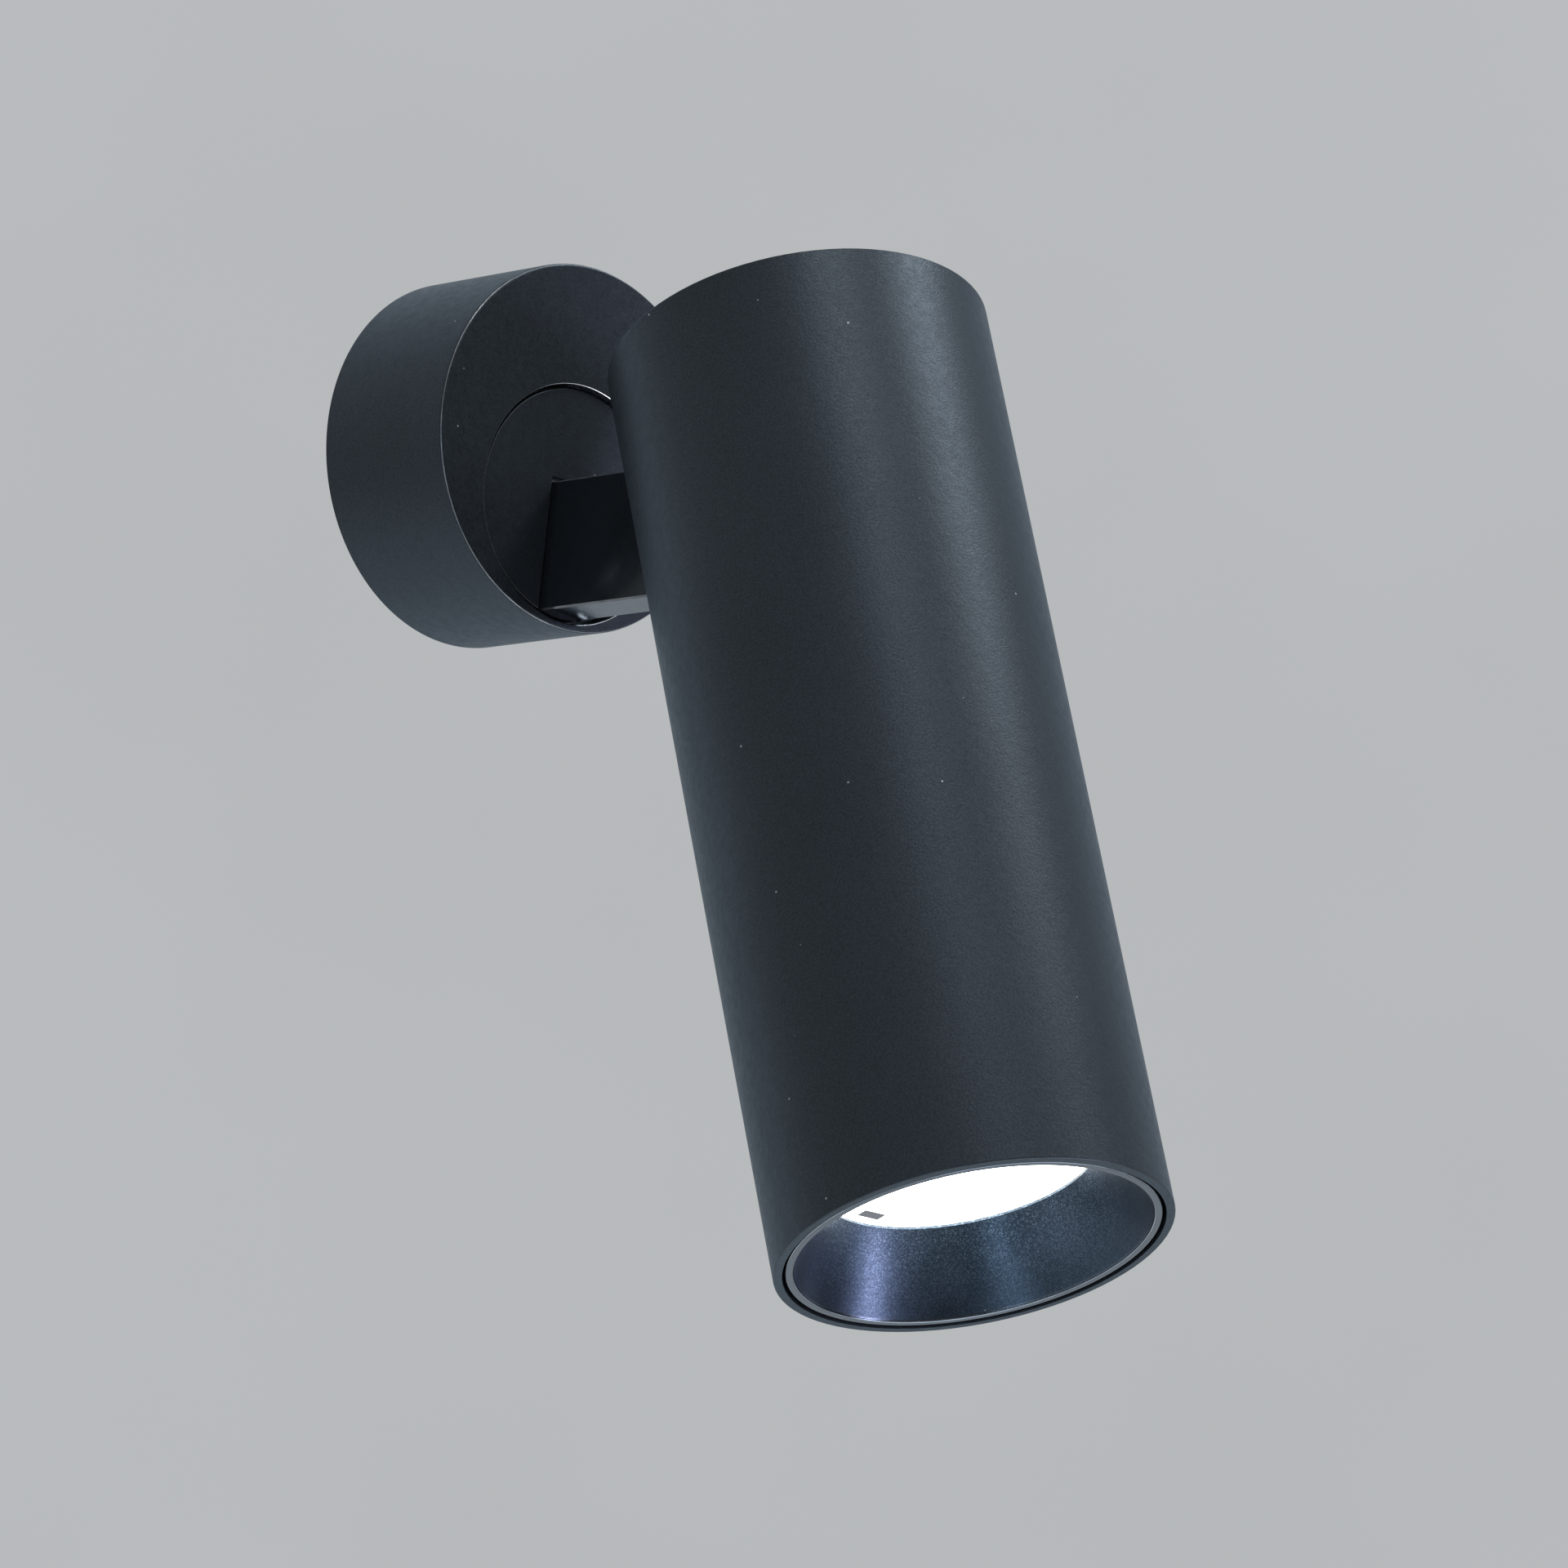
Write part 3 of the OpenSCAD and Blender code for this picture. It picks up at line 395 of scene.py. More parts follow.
def make_turned_marks():
    """Fine rings of a lathe tool round local Z."""
    tree, given, result = new_group(
        "turned_marks", [("Vector", "vector", None), ("Pitch", "float", 0.2 * MM)], ["Height", "Tone"],
    )
    parts = coordinates(tree, given["Vector"])
    turns = maths(tree, "DIVIDE", maths(tree, "ADD", radius_of(tree, parts), parts[2]), given["Pitch"])
    wave = maths(tree, "SINE", maths(tree, "MULTIPLY", turns, 2 * math.pi))
    flow = put(
        tree, "ShaderNodeTexNoise",
        {"W": maths(tree, "MULTIPLY", turns, 0.31), "Scale": 1.0, "Detail": 2.0}, noise_dimensions="1D",
    ).outputs["Fac"]
    feed(tree, result, {
        "Height": maths(tree, "ADD", maths(tree, "MULTIPLY", wave, 0.3), flow),
        "Tone": vary(tree, flow, 0.9, 1.08),
    })


def make_thread():
    """Helical thread round local Z."""
    tree, given, result = new_group(
        "thread", [("Vector", "vector", None), ("Pitch", "float", 0.5 * MM)], ["Height", "Root"],
    )
    x, y, z = coordinates(tree, given["Vector"])
    turn = maths(tree, "DIVIDE", maths(tree, "ARCTAN2", y, x), 2 * math.pi)
    climb = maths(tree, "SUBTRACT", maths(tree, "DIVIDE", z, given["Pitch"]), turn)
    height = maths(tree, "MULTIPLY", maths(tree, "PINGPONG", climb, 0.5), 2.0)
    feed(tree, result, {"Height": height, "Root": spread(tree, height, 0.0, 0.4, 1.0, 0.0)})


def make_cast_skin():
    """The faintly uneven skin of die-cast or moulded pieces."""
    tree, given, result = new_group(
        "cast_skin", [("Vector", "vector", None), ("Size", "float", 0.8 * MM)], ["Height", "Tone"],
    )
    scale = maths(tree, "DIVIDE", 1.0, given["Size"])
    fine = noise(tree, given["Vector"], scale, detail=4.0)
    broad = noise(tree, given["Vector"], maths(tree, "MULTIPLY", scale, 0.07), detail=2.0)
    feed(tree, result, {"Height": fine, "Tone": vary(tree, broad, 0.9, 1.1)})


def make_rolled_lines():
    """Long fine lines of rolled or brushed sheet, along local X."""
    tree, given, result = new_group(
        "rolled_lines", [("Vector", "vector", None), ("Width", "float", 0.15 * MM)], ["Height", "Tone"],
    )
    drawn_out = put(tree, "ShaderNodeMapping", {"Vector": given["Vector"], "Scale": (0.02, 1, 1)}).outputs[0]
    lines = noise(tree, drawn_out, maths(tree, "DIVIDE", 1.0, given["Width"]), detail=2.0)
    feed(tree, result, {"Height": lines, "Tone": vary(tree, lines, 0.9, 1.1)})


# Materials


def new_material(name):
    """An empty material. Returns it, its tree, its shader and the piece's own coordinates."""
    plain = bpy.data.materials.get(name)
    if plain:
        plain.name = "plain_" + name
    material = bpy.data.materials.new(name)
    material.use_nodes = True
    tree = material.node_tree
    tree.nodes.clear()
    shader = tree.nodes.new("ShaderNodeBsdfPrincipled")
    put(tree, "ShaderNodeOutputMaterial", {"Surface": shader.outputs[0]})
    place = tree.nodes.new("ShaderNodeTexCoord").outputs["Object"]
    return material, tree, shader, place


def in_frame(tree, place, matrix):
    """Object coordinates seen from a local frame, whose +Z is the pattern's axis."""
    inverse = matrix.inverted()
    node = put(
        tree, "ShaderNodeMapping",
        {"Vector": place, "Location": inverse.to_translation(), "Rotation": inverse.to_euler()},
    )
    return node.outputs["Vector"]


def thin_edges(tree, place, axis):
    """Mask of the rounded edges that run round an axis."""
    normal = tree.nodes.new("ShaderNodeTexCoord").outputs["Normal"]
    return use_group(tree, "thin_edges", {"Vector": place, "Facing": normal, "Axis": axis})["Mask"]


def tinted(tree, colour, tone):
    """A colour made lighter and darker by a tone around 1."""
    return put(tree, "ShaderNodeVectorMath", {0: colour[:3], "Scale": tone}, operation="SCALE").outputs[0]


def rough_by_tone(tree, tone, roughness, change, reach=0.1):
    """A roughness that goes up and down by a change as a tone goes by its reach above and below 1."""
    return spread(tree, tone, 1 - reach, 1 + reach, roughness - change, roughness + change)


def bump(tree, height, depth):
    """Relief of the given depth."""
    return put(tree, "ShaderNodeBump", {"Height": height, "Distance": depth, "Strength": 1.0}).outputs[0]


def powder_coat(
    name, axis, wear_share=1.0, flake_share=1.0, shaded_colour_share=1.0, grain_share=1.0, smoother=0.0, gloss=0.0,
    rubbed=False,
):
    """Blue-black flake coat, thin along the rounded edges. Where it is rubbed, the disc has worn it off
    round the hole that it turns in."""
    coat = bpy.context.scene.spotlight_coat
    material, tree, shader, place = new_material(name)
    grain = use_group(tree, "powder_grain", {"Vector": place, "Grain": coat.grain})
    dust = use_group(tree, "dust", {"Vector": place, "Spacing": 5 * MM, "Size": 0.18 * MM})["Mask"]
    share = coat.edge_wear * wear_share
    if rubbed:
        from_axis = radius_of(tree, coordinates(tree, in_frame(tree, place, TURRET_FRAME)))
        from_edge = maths(tree, "ABSOLUTE", maths(tree, "SUBTRACT", from_axis, TURRET_R + TURRET_GAP))
        share = spread(tree, from_edge, 0.4 * MM, 0.6 * MM, RUBBED_WEAR, share)
    wear = maths(tree, "MULTIPLY", thin_edges(tree, place, axis), share, clamp=True)
    # A shaded colour share below 1 makes a darker copy of the coat: painted shade
    base = tinted(tree, [shaded_colour_share * part for part in coat.colour], grain["Tone"])
    dusty = blend_colour(tree, maths(tree, "MULTIPLY", dust, 0.8), base, (0.4, 0.42, 0.45))
    rough = maths(tree, "ADD", coat.sheen_roughness - smoother, grain["Rough"])
    feed(tree, shader, {
        "Base Color": blend_colour(tree, wear, dusty, BARE_METAL),
        "Metallic": spread(tree, wear, 0.0, 1.0, coat.flake * flake_share, 1.0),
        "Roughness": maths(tree, "SUBTRACT", rough, maths(tree, "MULTIPLY", wear, 0.15)),
        "Specular Tint": (*coat.sheen_colour, 1),
        "Coat Weight": gloss,
        "Coat Roughness": 0.2,
        "Normal": bump(tree, grain["Height"], coat.grain_depth * grain_share),
    })
    return material


def machined(name, colour, roughness, matrix=WALL_FRAME, pitch=0.2 * MM):
    """Turned or drilled metal with fine rings round the frame's axis."""
    material, tree, shader, place = new_material(name)
    marks = use_group(tree, "turned_marks", {"Vector": in_frame(tree, place, matrix), "Pitch": pitch})
    feed(tree, shader, {
        "Base Color": tinted(tree, colour, marks["Tone"]),
        "Roughness": rough_by_tone(tree, marks["Tone"], roughness, 0.05),
        "Metallic": 1.0,
        "Normal": bump(tree, marks["Height"], 0.012 * MM),
    })
    return material


def threaded(name, colour, roughness, matrix, pitch):
    """Steel rod with a thread round its own axis, dark in its roots as painted shade."""
    material, tree, shader, place = new_material(name)
    thread = use_group(tree, "thread", {"Vector": in_frame(tree, place, matrix), "Pitch": pitch})
    # The thread's roots are darkened: painted shade in the grooves
    root_shade_colour = [part * 0.35 for part in colour]
    feed(tree, shader, {
        "Base Color": blend_colour(tree, thread["Root"], colour, root_shade_colour),
        "Roughness": roughness,
        "Metallic": 1.0,
        "Normal": bump(tree, thread["Height"], pitch * 0.6),
    })
    return material


def skinned(name, colour, roughness, size, depth, metallic=0.0, gloss=0.0):
    """Cast metal, moulded plastic, rubber or ceramic with an uneven skin."""
    material, tree, shader, place = new_material(name)
    skin = use_group(tree, "cast_skin", {"Vector": place, "Size": size})
    feed(tree, shader, {
        "Base Color": tinted(tree, colour, skin["Tone"]),
        "Roughness": rough_by_tone(tree, skin["Tone"], roughness, 0.06),
        "Metallic": metallic,
        "Coat Weight": gloss,
        "Normal": bump(tree, skin["Height"], depth),
    })
    return material


def rolled_sheet(name, colour, roughness):
    """Steel sheet with the lines of its rolling."""
    material, tree, shader, place = new_material(name)
    flat = in_frame(tree, place, WALL_FRAME)
    lines = use_group(tree, "rolled_lines", {"Vector": flat, "Width": 0.16 * MM})
    skin = use_group(tree, "cast_skin", {"Vector": place, "Size": 2.2 * MM})
    tone = maths(tree, "MULTIPLY", lines["Tone"], skin["Tone"])
    feed(tree, shader, {
        "Base Color": tinted(tree, colour, tone),
        "Roughness": rough_by_tone(tree, tone, roughness, 0.08, reach=0.15),
        "Metallic": 1.0,
        "Normal": bump(tree, lines["Height"], 0.01 * MM),
    })
    return material


def black_chrome(name):
    """Glossy dark metal of the conical trim: a grainy skin with fine glints, painted stronger near the lens,
    and a paler polished lip.
    """
    mouth = bpy.context.scene.spotlight_mouth
    material, tree, shader, place = new_material(name)
    local = in_frame(tree, place, HEAD_FRAME)
    up = coordinates(tree, local)[2]
    skin = use_group(tree, "cast_skin", {"Vector": local, "Size": 0.9 * MM})
    grain = use_group(tree, "powder_grain", {"Vector": local, "Grain": 0.22 * MM})
    tone = maths(tree, "MULTIPLY", skin["Tone"], spread(tree, grain["Tone"], 0.9, 1.1, 0.75, 1.3))
    toned = tinted(tree, mouth.trim_colour, tone)

    # Three cells in ten glint, a flake texture of the metal. Deeper in the cone, towards the lens, they are
    # painted stronger: painted glints of the lens's light
    cells = put(tree, "ShaderNodeTexVoronoi", {"Vector": local, "Scale": 5500.0}).outputs
    glints = spread(tree, chance_of(tree, cells), 0.7, 1.0, 0.0, 0.5)
    painted_lens_glow = spread(tree, up, 2 * MM, 12 * MM, 0.25, 1.0)
    glints_and_painted_glow = blend_colour(tree, maths(tree, "MULTIPLY", glints, painted_lens_glow), toned, (0.2, 0.28, 0.36))
    dust = use_group(tree, "dust", {"Vector": local, "Spacing": 3.5 * MM, "Size": 0.12 * MM})["Mask"]
    dusty = blend_colour(tree, maths(tree, "MULTIPLY", dust, 0.7), glints_and_painted_glow, (0.6, 0.65, 0.75))

    lip = spread(tree, up, LIP_UP, LIP_UP + LIP_BLEND, 1.0, 0.0)
    edges = thin_edges(tree, local, HEAD_AXIS)
    polished = blend_colour(tree, edges, mouth.lip_colour, (0.45, 0.49, 0.55))
    rough = rough_by_tone(tree, skin["Tone"], mouth.trim_roughness, 0.05)
    feed(tree, shader, {
        "Base Color": blend_colour(tree, lip, dusty, polished),
        "Roughness": maths(tree, "SUBTRACT", rough, maths(tree, "MULTIPLY", lip, 0.15)),
        "Metallic": 1.0,
        "Coat Weight": 0.1,
        "Coat Roughness": 0.26,
        "Normal": bump(tree, grain["Height"], 0.02 * MM),
    })
    return material


def lit_lens(name):
    """Frosted lens lit from behind, warm at its rim, with the small dark mark of its moulding gate."""
    mouth = bpy.context.scene.spotlight_mouth
    material, tree, shader, place = new_material(name)
    local = in_frame(tree, place, HEAD_FRAME)
    frost = use_group(tree, "cast_skin", {"Vector": local, "Size": 0.4 * MM})
    parts = coordinates(tree, local)
    warm = spread(tree, radius_of(tree, parts), LENS_WARM_R, LENS_RIM_R, smooth=True)
    glow = blend_colour(tree, warm, mouth.light_colour, (0.9, 0.8, 0.66))
    across = maths(tree, "ABSOLUTE", maths(tree, "SUBTRACT", parts[0], MARK_RIGHT))
    along = maths(tree, "ABSOLUTE", maths(tree, "SUBTRACT", parts[1], MARK_BACK))
    mark = maths(
        tree, "MULTIPLY",
        spread(tree, across, MARK_HALF_WIDTH, MARK_HALF_WIDTH + 0.4 * MM, 1.0, 0.0),
        spread(tree, along, MARK_HALF_HEIGHT, MARK_HALF_HEIGHT + 0.3 * MM, 1.0, 0.0),
    )
    colour = blend_colour(tree, mark, glow, (0.02, 0.021, 0.023))
    feed(tree, shader, {
        "Base Color": colour,
        "Emission Color": colour,
        "Emission Strength": mouth.light_strength,
        "Roughness": 0.45,
        "Normal": bump(tree, frost["Height"], 0.01 * MM),
    })
    return material


def phosphor(name):
    """Yellow phosphor of the light source, which glows a little."""
    material, tree, shader, place = new_material(name)
    skin = use_group(tree, "cast_skin", {"Vector": place, "Size": 0.3 * MM})
    feed(tree, shader, {
        "Base Color": tinted(tree, (0.9, 0.66, 0.08), skin["Tone"]),
        "Emission Color": (1.0, 0.85, 0.5, 1),
        "Emission Strength": 1.0,
        "Roughness": 0.35,
        "Normal": bump(tree, skin["Height"], 0.01 * MM),
    })
    return material


# Each finish: the function that makes it, and what that function is given
FINISHES = {
    "base_coat": (powder_coat, dict(axis=WALL_AXIS, rubbed=True)),
    "head_coat": (powder_coat, dict(axis=HEAD_AXIS, wear_share=0.3)),
    # The arm's coat is smoother and glossier, and its colour is darkened to 0.7 as painted shade for its
    # shadowed sides
    "arm_coat": (powder_coat, dict(
        axis=ARM_AXIS, wear_share=0.6, flake_share=0.85, shaded_colour_share=0.7, grain_share=0.25, smoother=0.22,
        gloss=0.25,
    )),
    "black_chrome": (black_chrome, dict()),
    "lit_lens": (lit_lens, dict()),
    "phosphor": (phosphor, dict()),
    "bracket_sheet": (rolled_sheet, dict(colour=(0.56, 0.58, 0.6), roughness=0.38)),
    "turned_steel": (machined, dict(colour=STEEL, roughness=0.3)),
    "head_steel": (machined, dict(colour=STEEL, roughness=0.3, matrix=HEAD_FRAME)),
    "blackened_steel": (machined, dict(colour=(0.03, 0.031, 0.034), roughness=0.34, matrix=HEAD_FRAME)),
    "turned_brass": (machined, dict(colour=(0.72, 0.5, 0.2), roughness=0.28)),
    "turned_aluminium": (machined, dict(colour=(0.77, 0.78, 0.79), roughness=0.3, pitch=0.25 * MM)),
    "ring_aluminium": (machined, dict(
        colour=(0.74, 0.75, 0.76), roughness=0.3, matrix=HEAD_FRAME, pitch=0.3 * MM,
    )),
    "spun_reflector": (machined, dict(
        colour=(0.86, 0.87, 0.88), roughness=0.14, matrix=HEAD_FRAME, pitch=0.4 * MM,
    )),
    "rod_thread": (threaded, dict(
        colour=(0.55, 0.55, 0.56), roughness=0.34, pitch=0.5 * MM,
        matrix=HEAD_FRAME @ Matrix.Translation((TIE_ROD_OUT, 0, 0)),
    )),
    "cast_aluminium": (skinned, dict(
        colour=(0.68, 0.69, 0.7), roughness=0.42, size=0.6 * MM, depth=0.02 * MM, metallic=1.0,
    )),
    "black_rubber": (skinned, dict(
        colour=(0.018, 0.018, 0.019), roughness=0.72, size=0.3 * MM, depth=0.02 * MM,
    )),
    "moulded_white": (skinned, dict(
        colour=(0.76, 0.75, 0.71), roughness=0.48, size=0.45 * MM, depth=0.015 * MM,
    )),
    "grey_pad": (skinned, dict(
        colour=(0.33, 0.35, 0.38), roughness=0.8, size=0.2 * MM, depth=0.02 * MM,
    )),
    "ceramic_board": (skinned, dict(
        colour=(0.83, 0.83, 0.8), roughness=0.4, size=0.2 * MM, depth=0.006 * MM, gloss=0.2,
    )),
}
MADE = {}


def finish(name):
    """The named finish, made the first time that it is used."""
    if name not in MADE:
        make, given = FINISHES[name]
        MADE[name] = make(name, **given)
    return MADE[name]


def dress(finish_name, *nodes):
    """Gives CAD nodes their finish."""
    for node in nodes:
        materials = NODES[node].data.materials
        materials.clear()
        materials.append(finish(finish_name))


# Modelling helpers


def only(thing):
    """Selects one object alone and makes it active."""
    if bpy.context.object and bpy.context.object.mode != "OBJECT":
        bpy.ops.object.mode_set(mode="OBJECT")
    bpy.ops.object.select_all(action="DESELECT")
    thing.select_set(True)
    bpy.context.view_layer.objects.active = thing


def open_selected(thing, parts, wanted):
    """Opens an object's mesh for editing with only the wanted ones of its edges or polygons selected."""
    only(thing)
    bpy.ops.object.mode_set(mode="EDIT")
    bpy.ops.mesh.select_all(action="DESELECT")
    bpy.ops.object.mode_set(mode="OBJECT")
    for part in getattr(thing.data, parts):
        part.select = wanted(part)
    bpy.ops.object.mode_set(mode="EDIT")


def merged_copy(node, name):
    """A copy of a CAD node's mesh with its loose triangles joined, to be worked on."""
    thing = NODES[node].copy()
    thing.data = NODES[node].data.copy()
    thing.name = thing.data.name = name
    thing.parent = None
    for key in list(thing.keys()):
        del thing[key]
    bpy.context.scene.collection.objects.link(thing)
    only(thing)
    bpy.ops.object.mode_set(mode="EDIT")
    bpy.ops.mesh.select_all(action="SELECT")
    bpy.ops.mesh.remove_doubles(threshold=0.002 * MM)
    bpy.ops.mesh.customdata_custom_splitnormals_clear()
    bpy.ops.object.mode_set(mode="OBJECT")
    return thing


def hex_key(width, depth):
    """The end of a hex key round the origin, as wide as its flats are apart."""
    radius = width / 2 / math.cos(math.radians(30))
    bpy.ops.mesh.primitive_cylinder_add(vertices=6, radius=radius, depth=2 * depth, location=(0, 0, 0))
    return bpy.context.object


def blade(kind, width, depth, turn):
    """One blade of a slot or cross driver round the origin, drawn in towards its lower end."""
    bpy.ops.mesh.primitive_cube_add(size=1, location=(0, 0, 0), rotation=(0, 0, math.radians(turn)))
    thing = bpy.context.object
    thing.scale = (width, width * BLADE_THICKNESS_SHARE[kind], 2 * depth)
    bpy.ops.object.transform_apply(location=False, rotation=True, scale=True)
    open_selected(thing, "polygons", lambda face: face.normal.z < -0.5)
    tip = BLADE_TIP_SHARE[kind]
    bpy.ops.transform.resize(value=(tip, tip, 1))
    bpy.ops.object.mode_set(mode="OBJECT")
    return thing


def driver_bit(kind, width, depth, place):
    """The shapes that a screwdriver's bit takes out of a screw, sunk from local Z = 0 of a place."""
    bpy.ops.object.select_all(action="DESELECT")
    if kind == "hex":
        shapes = [hex_key(width, depth)]
    else:
        shapes = [blade(kind, width, depth, turn) for turn in BLADE_TURNS[kind]]
    for shape in shapes:
        shape.data.transform(place)
        shape.matrix_world = Matrix.Identity(4)
    return shapes


def cut_recesses(thing, kind, width, depth, places):
    """Sinks a screwdriver recess at each place, whose local +Z points out of the screw."""
    for place in places:
        for shape in driver_bit(kind, width, depth, place):
            cut = thing.modifiers.new("recess", "BOOLEAN")
            cut.operation = "DIFFERENCE"
            cut.solver = "EXACT"
            cut.object = shape
            only(thing)
            bpy.ops.object.modifier_apply(modifier=cut.name)
            bpy.data.objects.remove(shape)


def detailed_screws(node, name, finish_name, body, kind, width, depth, places):
    """A CAD node's screws again, with a driver's recess in each."""
    thing = merged_copy(node, name)
    cut_recesses(thing, kind, width, depth, places)
    thing.data.materials.clear()
    thing.data.materials.append(finish(finish_name))
    only(thing)
    bpy.ops.object.shade_smooth_by_angle(angle=math.radians(32))
    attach(thing, body)
    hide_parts(node)


def screw_place(frame_matrix, x, y, z, inward=False):
    """Where a screw's outer face is in a local frame. It faces along the frame's +Z, or back along it."""
    turn = Matrix.Rotation(math.pi, 4, "X") if inward else Matrix.Identity(4)
    return frame_matrix @ Matrix.Translation((x, y, z)) @ turn


# The stage


def swept_floor(drop):
    """A floor that curves up into a backdrop far behind the light."""
    bpy.ops.object.select_all(action="DESELECT")
    bpy.ops.mesh.primitive_plane_add(size=1, location=(0, 0, 0))
    sweep = bpy.context.object
    sweep.name = sweep.data.name = "floor"
    sweep.scale = (FLOOR_WIDTH, FLOOR_DEPTH, 1)
    bpy.ops.object.transform_apply(location=False, rotation=False, scale=True)
    close = 0.1

    def at_far_side(edge):
        ends = [sweep.data.vertices[end].co for end in edge.vertices]
        return all(end.y > FLOOR_DEPTH / 2 - close and end.z < close for end in ends)

    open_selected(sweep, "edges", at_far_side)
    bpy.ops.mesh.select_mode(type="EDGE")
    bpy.ops.mesh.extrude_region_move(TRANSFORM_OT_translate={"value": (0, 0, BACKDROP_HEIGHT)})
    open_selected(sweep, "edges", at_far_side)
    bpy.ops.mesh.bevel(offset=BACKDROP_BEND, segments=24, affect="EDGES")
    bpy.ops.object.mode_set(mode="OBJECT")
    bpy.ops.object.shade_smooth()
    sweep.data.transform(Matrix.Rotation(math.radians(STAGE_TURN), 4, "Z"))
    sweep.data.transform(Matrix.Translation((0, 0, -drop)))
    return sweep


def pale_floor(level):
    """Matt pale paper, which has a plain tone near the light's foot and the backdrop's level from there up.
    The camera and mirrors see its colour as it is, and the object is lit by it as by paper."""
    material, tree, shader, place = new_material("pale_floor")
    paper = vary(tree, noise(tree, place, 3.0, detail=3.0), 0.985, 1.015)
    outward = put(tree, "ShaderNodeVectorMath", {0: place}, operation="NORMALIZE").outputs[0]
    toward_middle = dot(tree, outward, (0.67, 0.73, 0.1))
    # The backdrop is made lighter towards its sides: painted light for the object to reflect
    painted_side_light = spread(tree, toward_middle, 0.85, 1.0, 1.15, 1.0, smooth=True)
    rise = spread(tree, coordinates(tree, outward)[2], -0.7, -0.35, smooth=True)
    backdrop = maths(tree, "MULTIPLY", rise, maths(tree, "MULTIPLY", painted_side_light, level))
    pale = maths(tree, "ADD", backdrop, spread(tree, rise, 0.0, 1.0, FLOOR_TONE, 0.0))
    colour = tinted(tree, PAPER, maths(tree, "MULTIPLY", paper, pale))
    feed(tree, shader, {"Base Color": colour, "Roughness": 0.8})
    ray = tree.nodes.new("ShaderNodeLightPath").outputs
    seen = maths(tree, "ADD", ray["Is Camera Ray"], ray["Is Glossy Ray"])
    seen = maths(tree, "ADD", seen, ray["Is Transmission Ray"], clamp=True)
    plain = put(tree, "ShaderNodeEmission", {"Color": colour, "Strength": 1.0})
    mixed = put(tree, "ShaderNodeMixShader", {0: seen, 1: shader.outputs[0], 2: plain.outputs[0]})
    feed(tree, tree.nodes["Material Output"], {"Surface": mixed.outputs[0]})
    return material


def soft_lamp(name, power, toward, away=1.3, size=(0.4, 0.4), colour=(1, 1, 1)):
    """Hangs a rectangular lamp some way off in a direction, facing the middle of the light."""
    lamp = bpy.data.lights.new(name, "AREA")
    lamp.shape = "RECTANGLE"
    lamp.size, lamp.size_y = size
    lamp.energy = power
    lamp.color = colour
    holder = bpy.data.objects.new(name, lamp)
    bpy.context.scene.collection.objects.link(holder)
    back = Vector(toward).normalized()
    holder.location = LIT_MIDDLE + back * away
    holder.rotation_euler = back.to_track_quat("Z", "Y").to_euler()


def surroundings(level):
    """Dim air with three broad pale windows: behind the light, high in front of it, and at its left."""
    world = bpy.data.worlds.new("soft_air")
    world.use_nodes = True
    tree = world.node_tree
    tree.nodes.clear()
    direction = tree.nodes.new("ShaderNodeTexCoord").outputs["Generated"]
    total = level
    for toward, start, strength in WINDOWS:
        window = spread(tree, dot(tree, direction, toward), start, 1.0, 0.0, strength, smooth=True)
        total = maths(tree, "ADD", total, window)
    sky = put(tree, "ShaderNodeBackground", {"Color": (1, 1, 1, 1), "Strength": total})
    put(tree, "ShaderNodeOutputWorld", {"Surface": sky.outputs[0]})
    bpy.context.scene.world = world


def photo_camera(focal_length):
    """The photograph's view."""
    data = bpy.data.cameras.new("camera")
    data.lens = focal_length
    data.sensor_width = 36.0
    data.clip_start, data.clip_end = 0.05, 20.0
    holder = bpy.data.objects.new("camera", data)
    bpy.context.scene.collection.objects.link(holder)
    holder.matrix_world = (
        Matrix.Translation(CAMERA_PLACE)
        @ Matrix.Rotation(math.radians(CAMERA_AZIMUTH), 4, "Z")
        @ Matrix.Rotation(math.radians(CAMERA_PITCH), 4, "X")
        @ Matrix.Rotation(math.radians(CAMERA_ROLL), 4, "Z")
    )
    bpy.context.scene.camera = holder
    bpy.context.scene.view_settings.view_transform = "Standard"


# Operators


class SPOTLIGHT_OT_effects(bpy.types.Operator):
    """Builds the surface effects that the finishes share"""

    bl_idname = "spotlight.effects"
    bl_label = "Surface effects"

    def execute(self, context):
        make_powder_grain()
        make_dust()
        make_thin_edges()
        make_turned_marks()
        make_thread()
        make_cast_skin()
        make_rolled_lines()
        return {"FINISHED"}


class SPOTLIGHT_OT_coated_shells(bpy.types.Operator):
    """Powder-coats the base, the turning disc, the arm, the tube and its end cap"""

    bl_idname = "spotlight.coated_shells"
    bl_label = "Coated shells"

    def execute(self, context):
        dress("base_coat", "base_cup", "turret_cover")
        dress("head_coat", "head_tube", "end_cap")
        dress("arm_coat", "arm")
        return {"FINISHED"}


class SPOTLIGHT_OT_mouth(bpy.types.Operator):
    """Finishes the conical trim, the lit lens and what holds them"""

    bl_idname = "spotlight.mouth"
    bl_label = "Mouth"

    def execute(self, context):
        dress("black_chrome", "trim_cone")
        dress("lit_lens", "lens")
        dress("black_rubber", "lens_gasket")
        dress("ring_aluminium", "seat_ring")
        dress("spun_reflector", "inner_reflector")
        return {"FINISHED"}


class SPOTLIGHT_OT_light_source(bpy.types.Operator):
    """Finishes the heat sink and the light board, and details the board's screws"""

    bl_idname = "spotlight.light_source"
    bl_label = "Light source"

    def execute(self, context):
        dress("cast_aluminium", "heat_sink")
        dress("grey_pad", "thermal_pad")
        dress("ceramic_board", "cob_board")
        dress("phosphor", "cob_emitter")
        dress("moulded_white", "cob_holder")
        places = [
            screw_place(HEAD_FRAME, side * BOARD_SCREW_OUT, 0, BOARD_SCREW_FACE, inward=True)
            for side in BOTH_SIDES
        ]
        detailed_screws(
            "cob_screws", "cob_screws_crossed", "head_steel", "head",
            kind="cross", width=2.6 * MM, depth=0.9 * MM, places=places,
        )
        return {"FINISHED"}


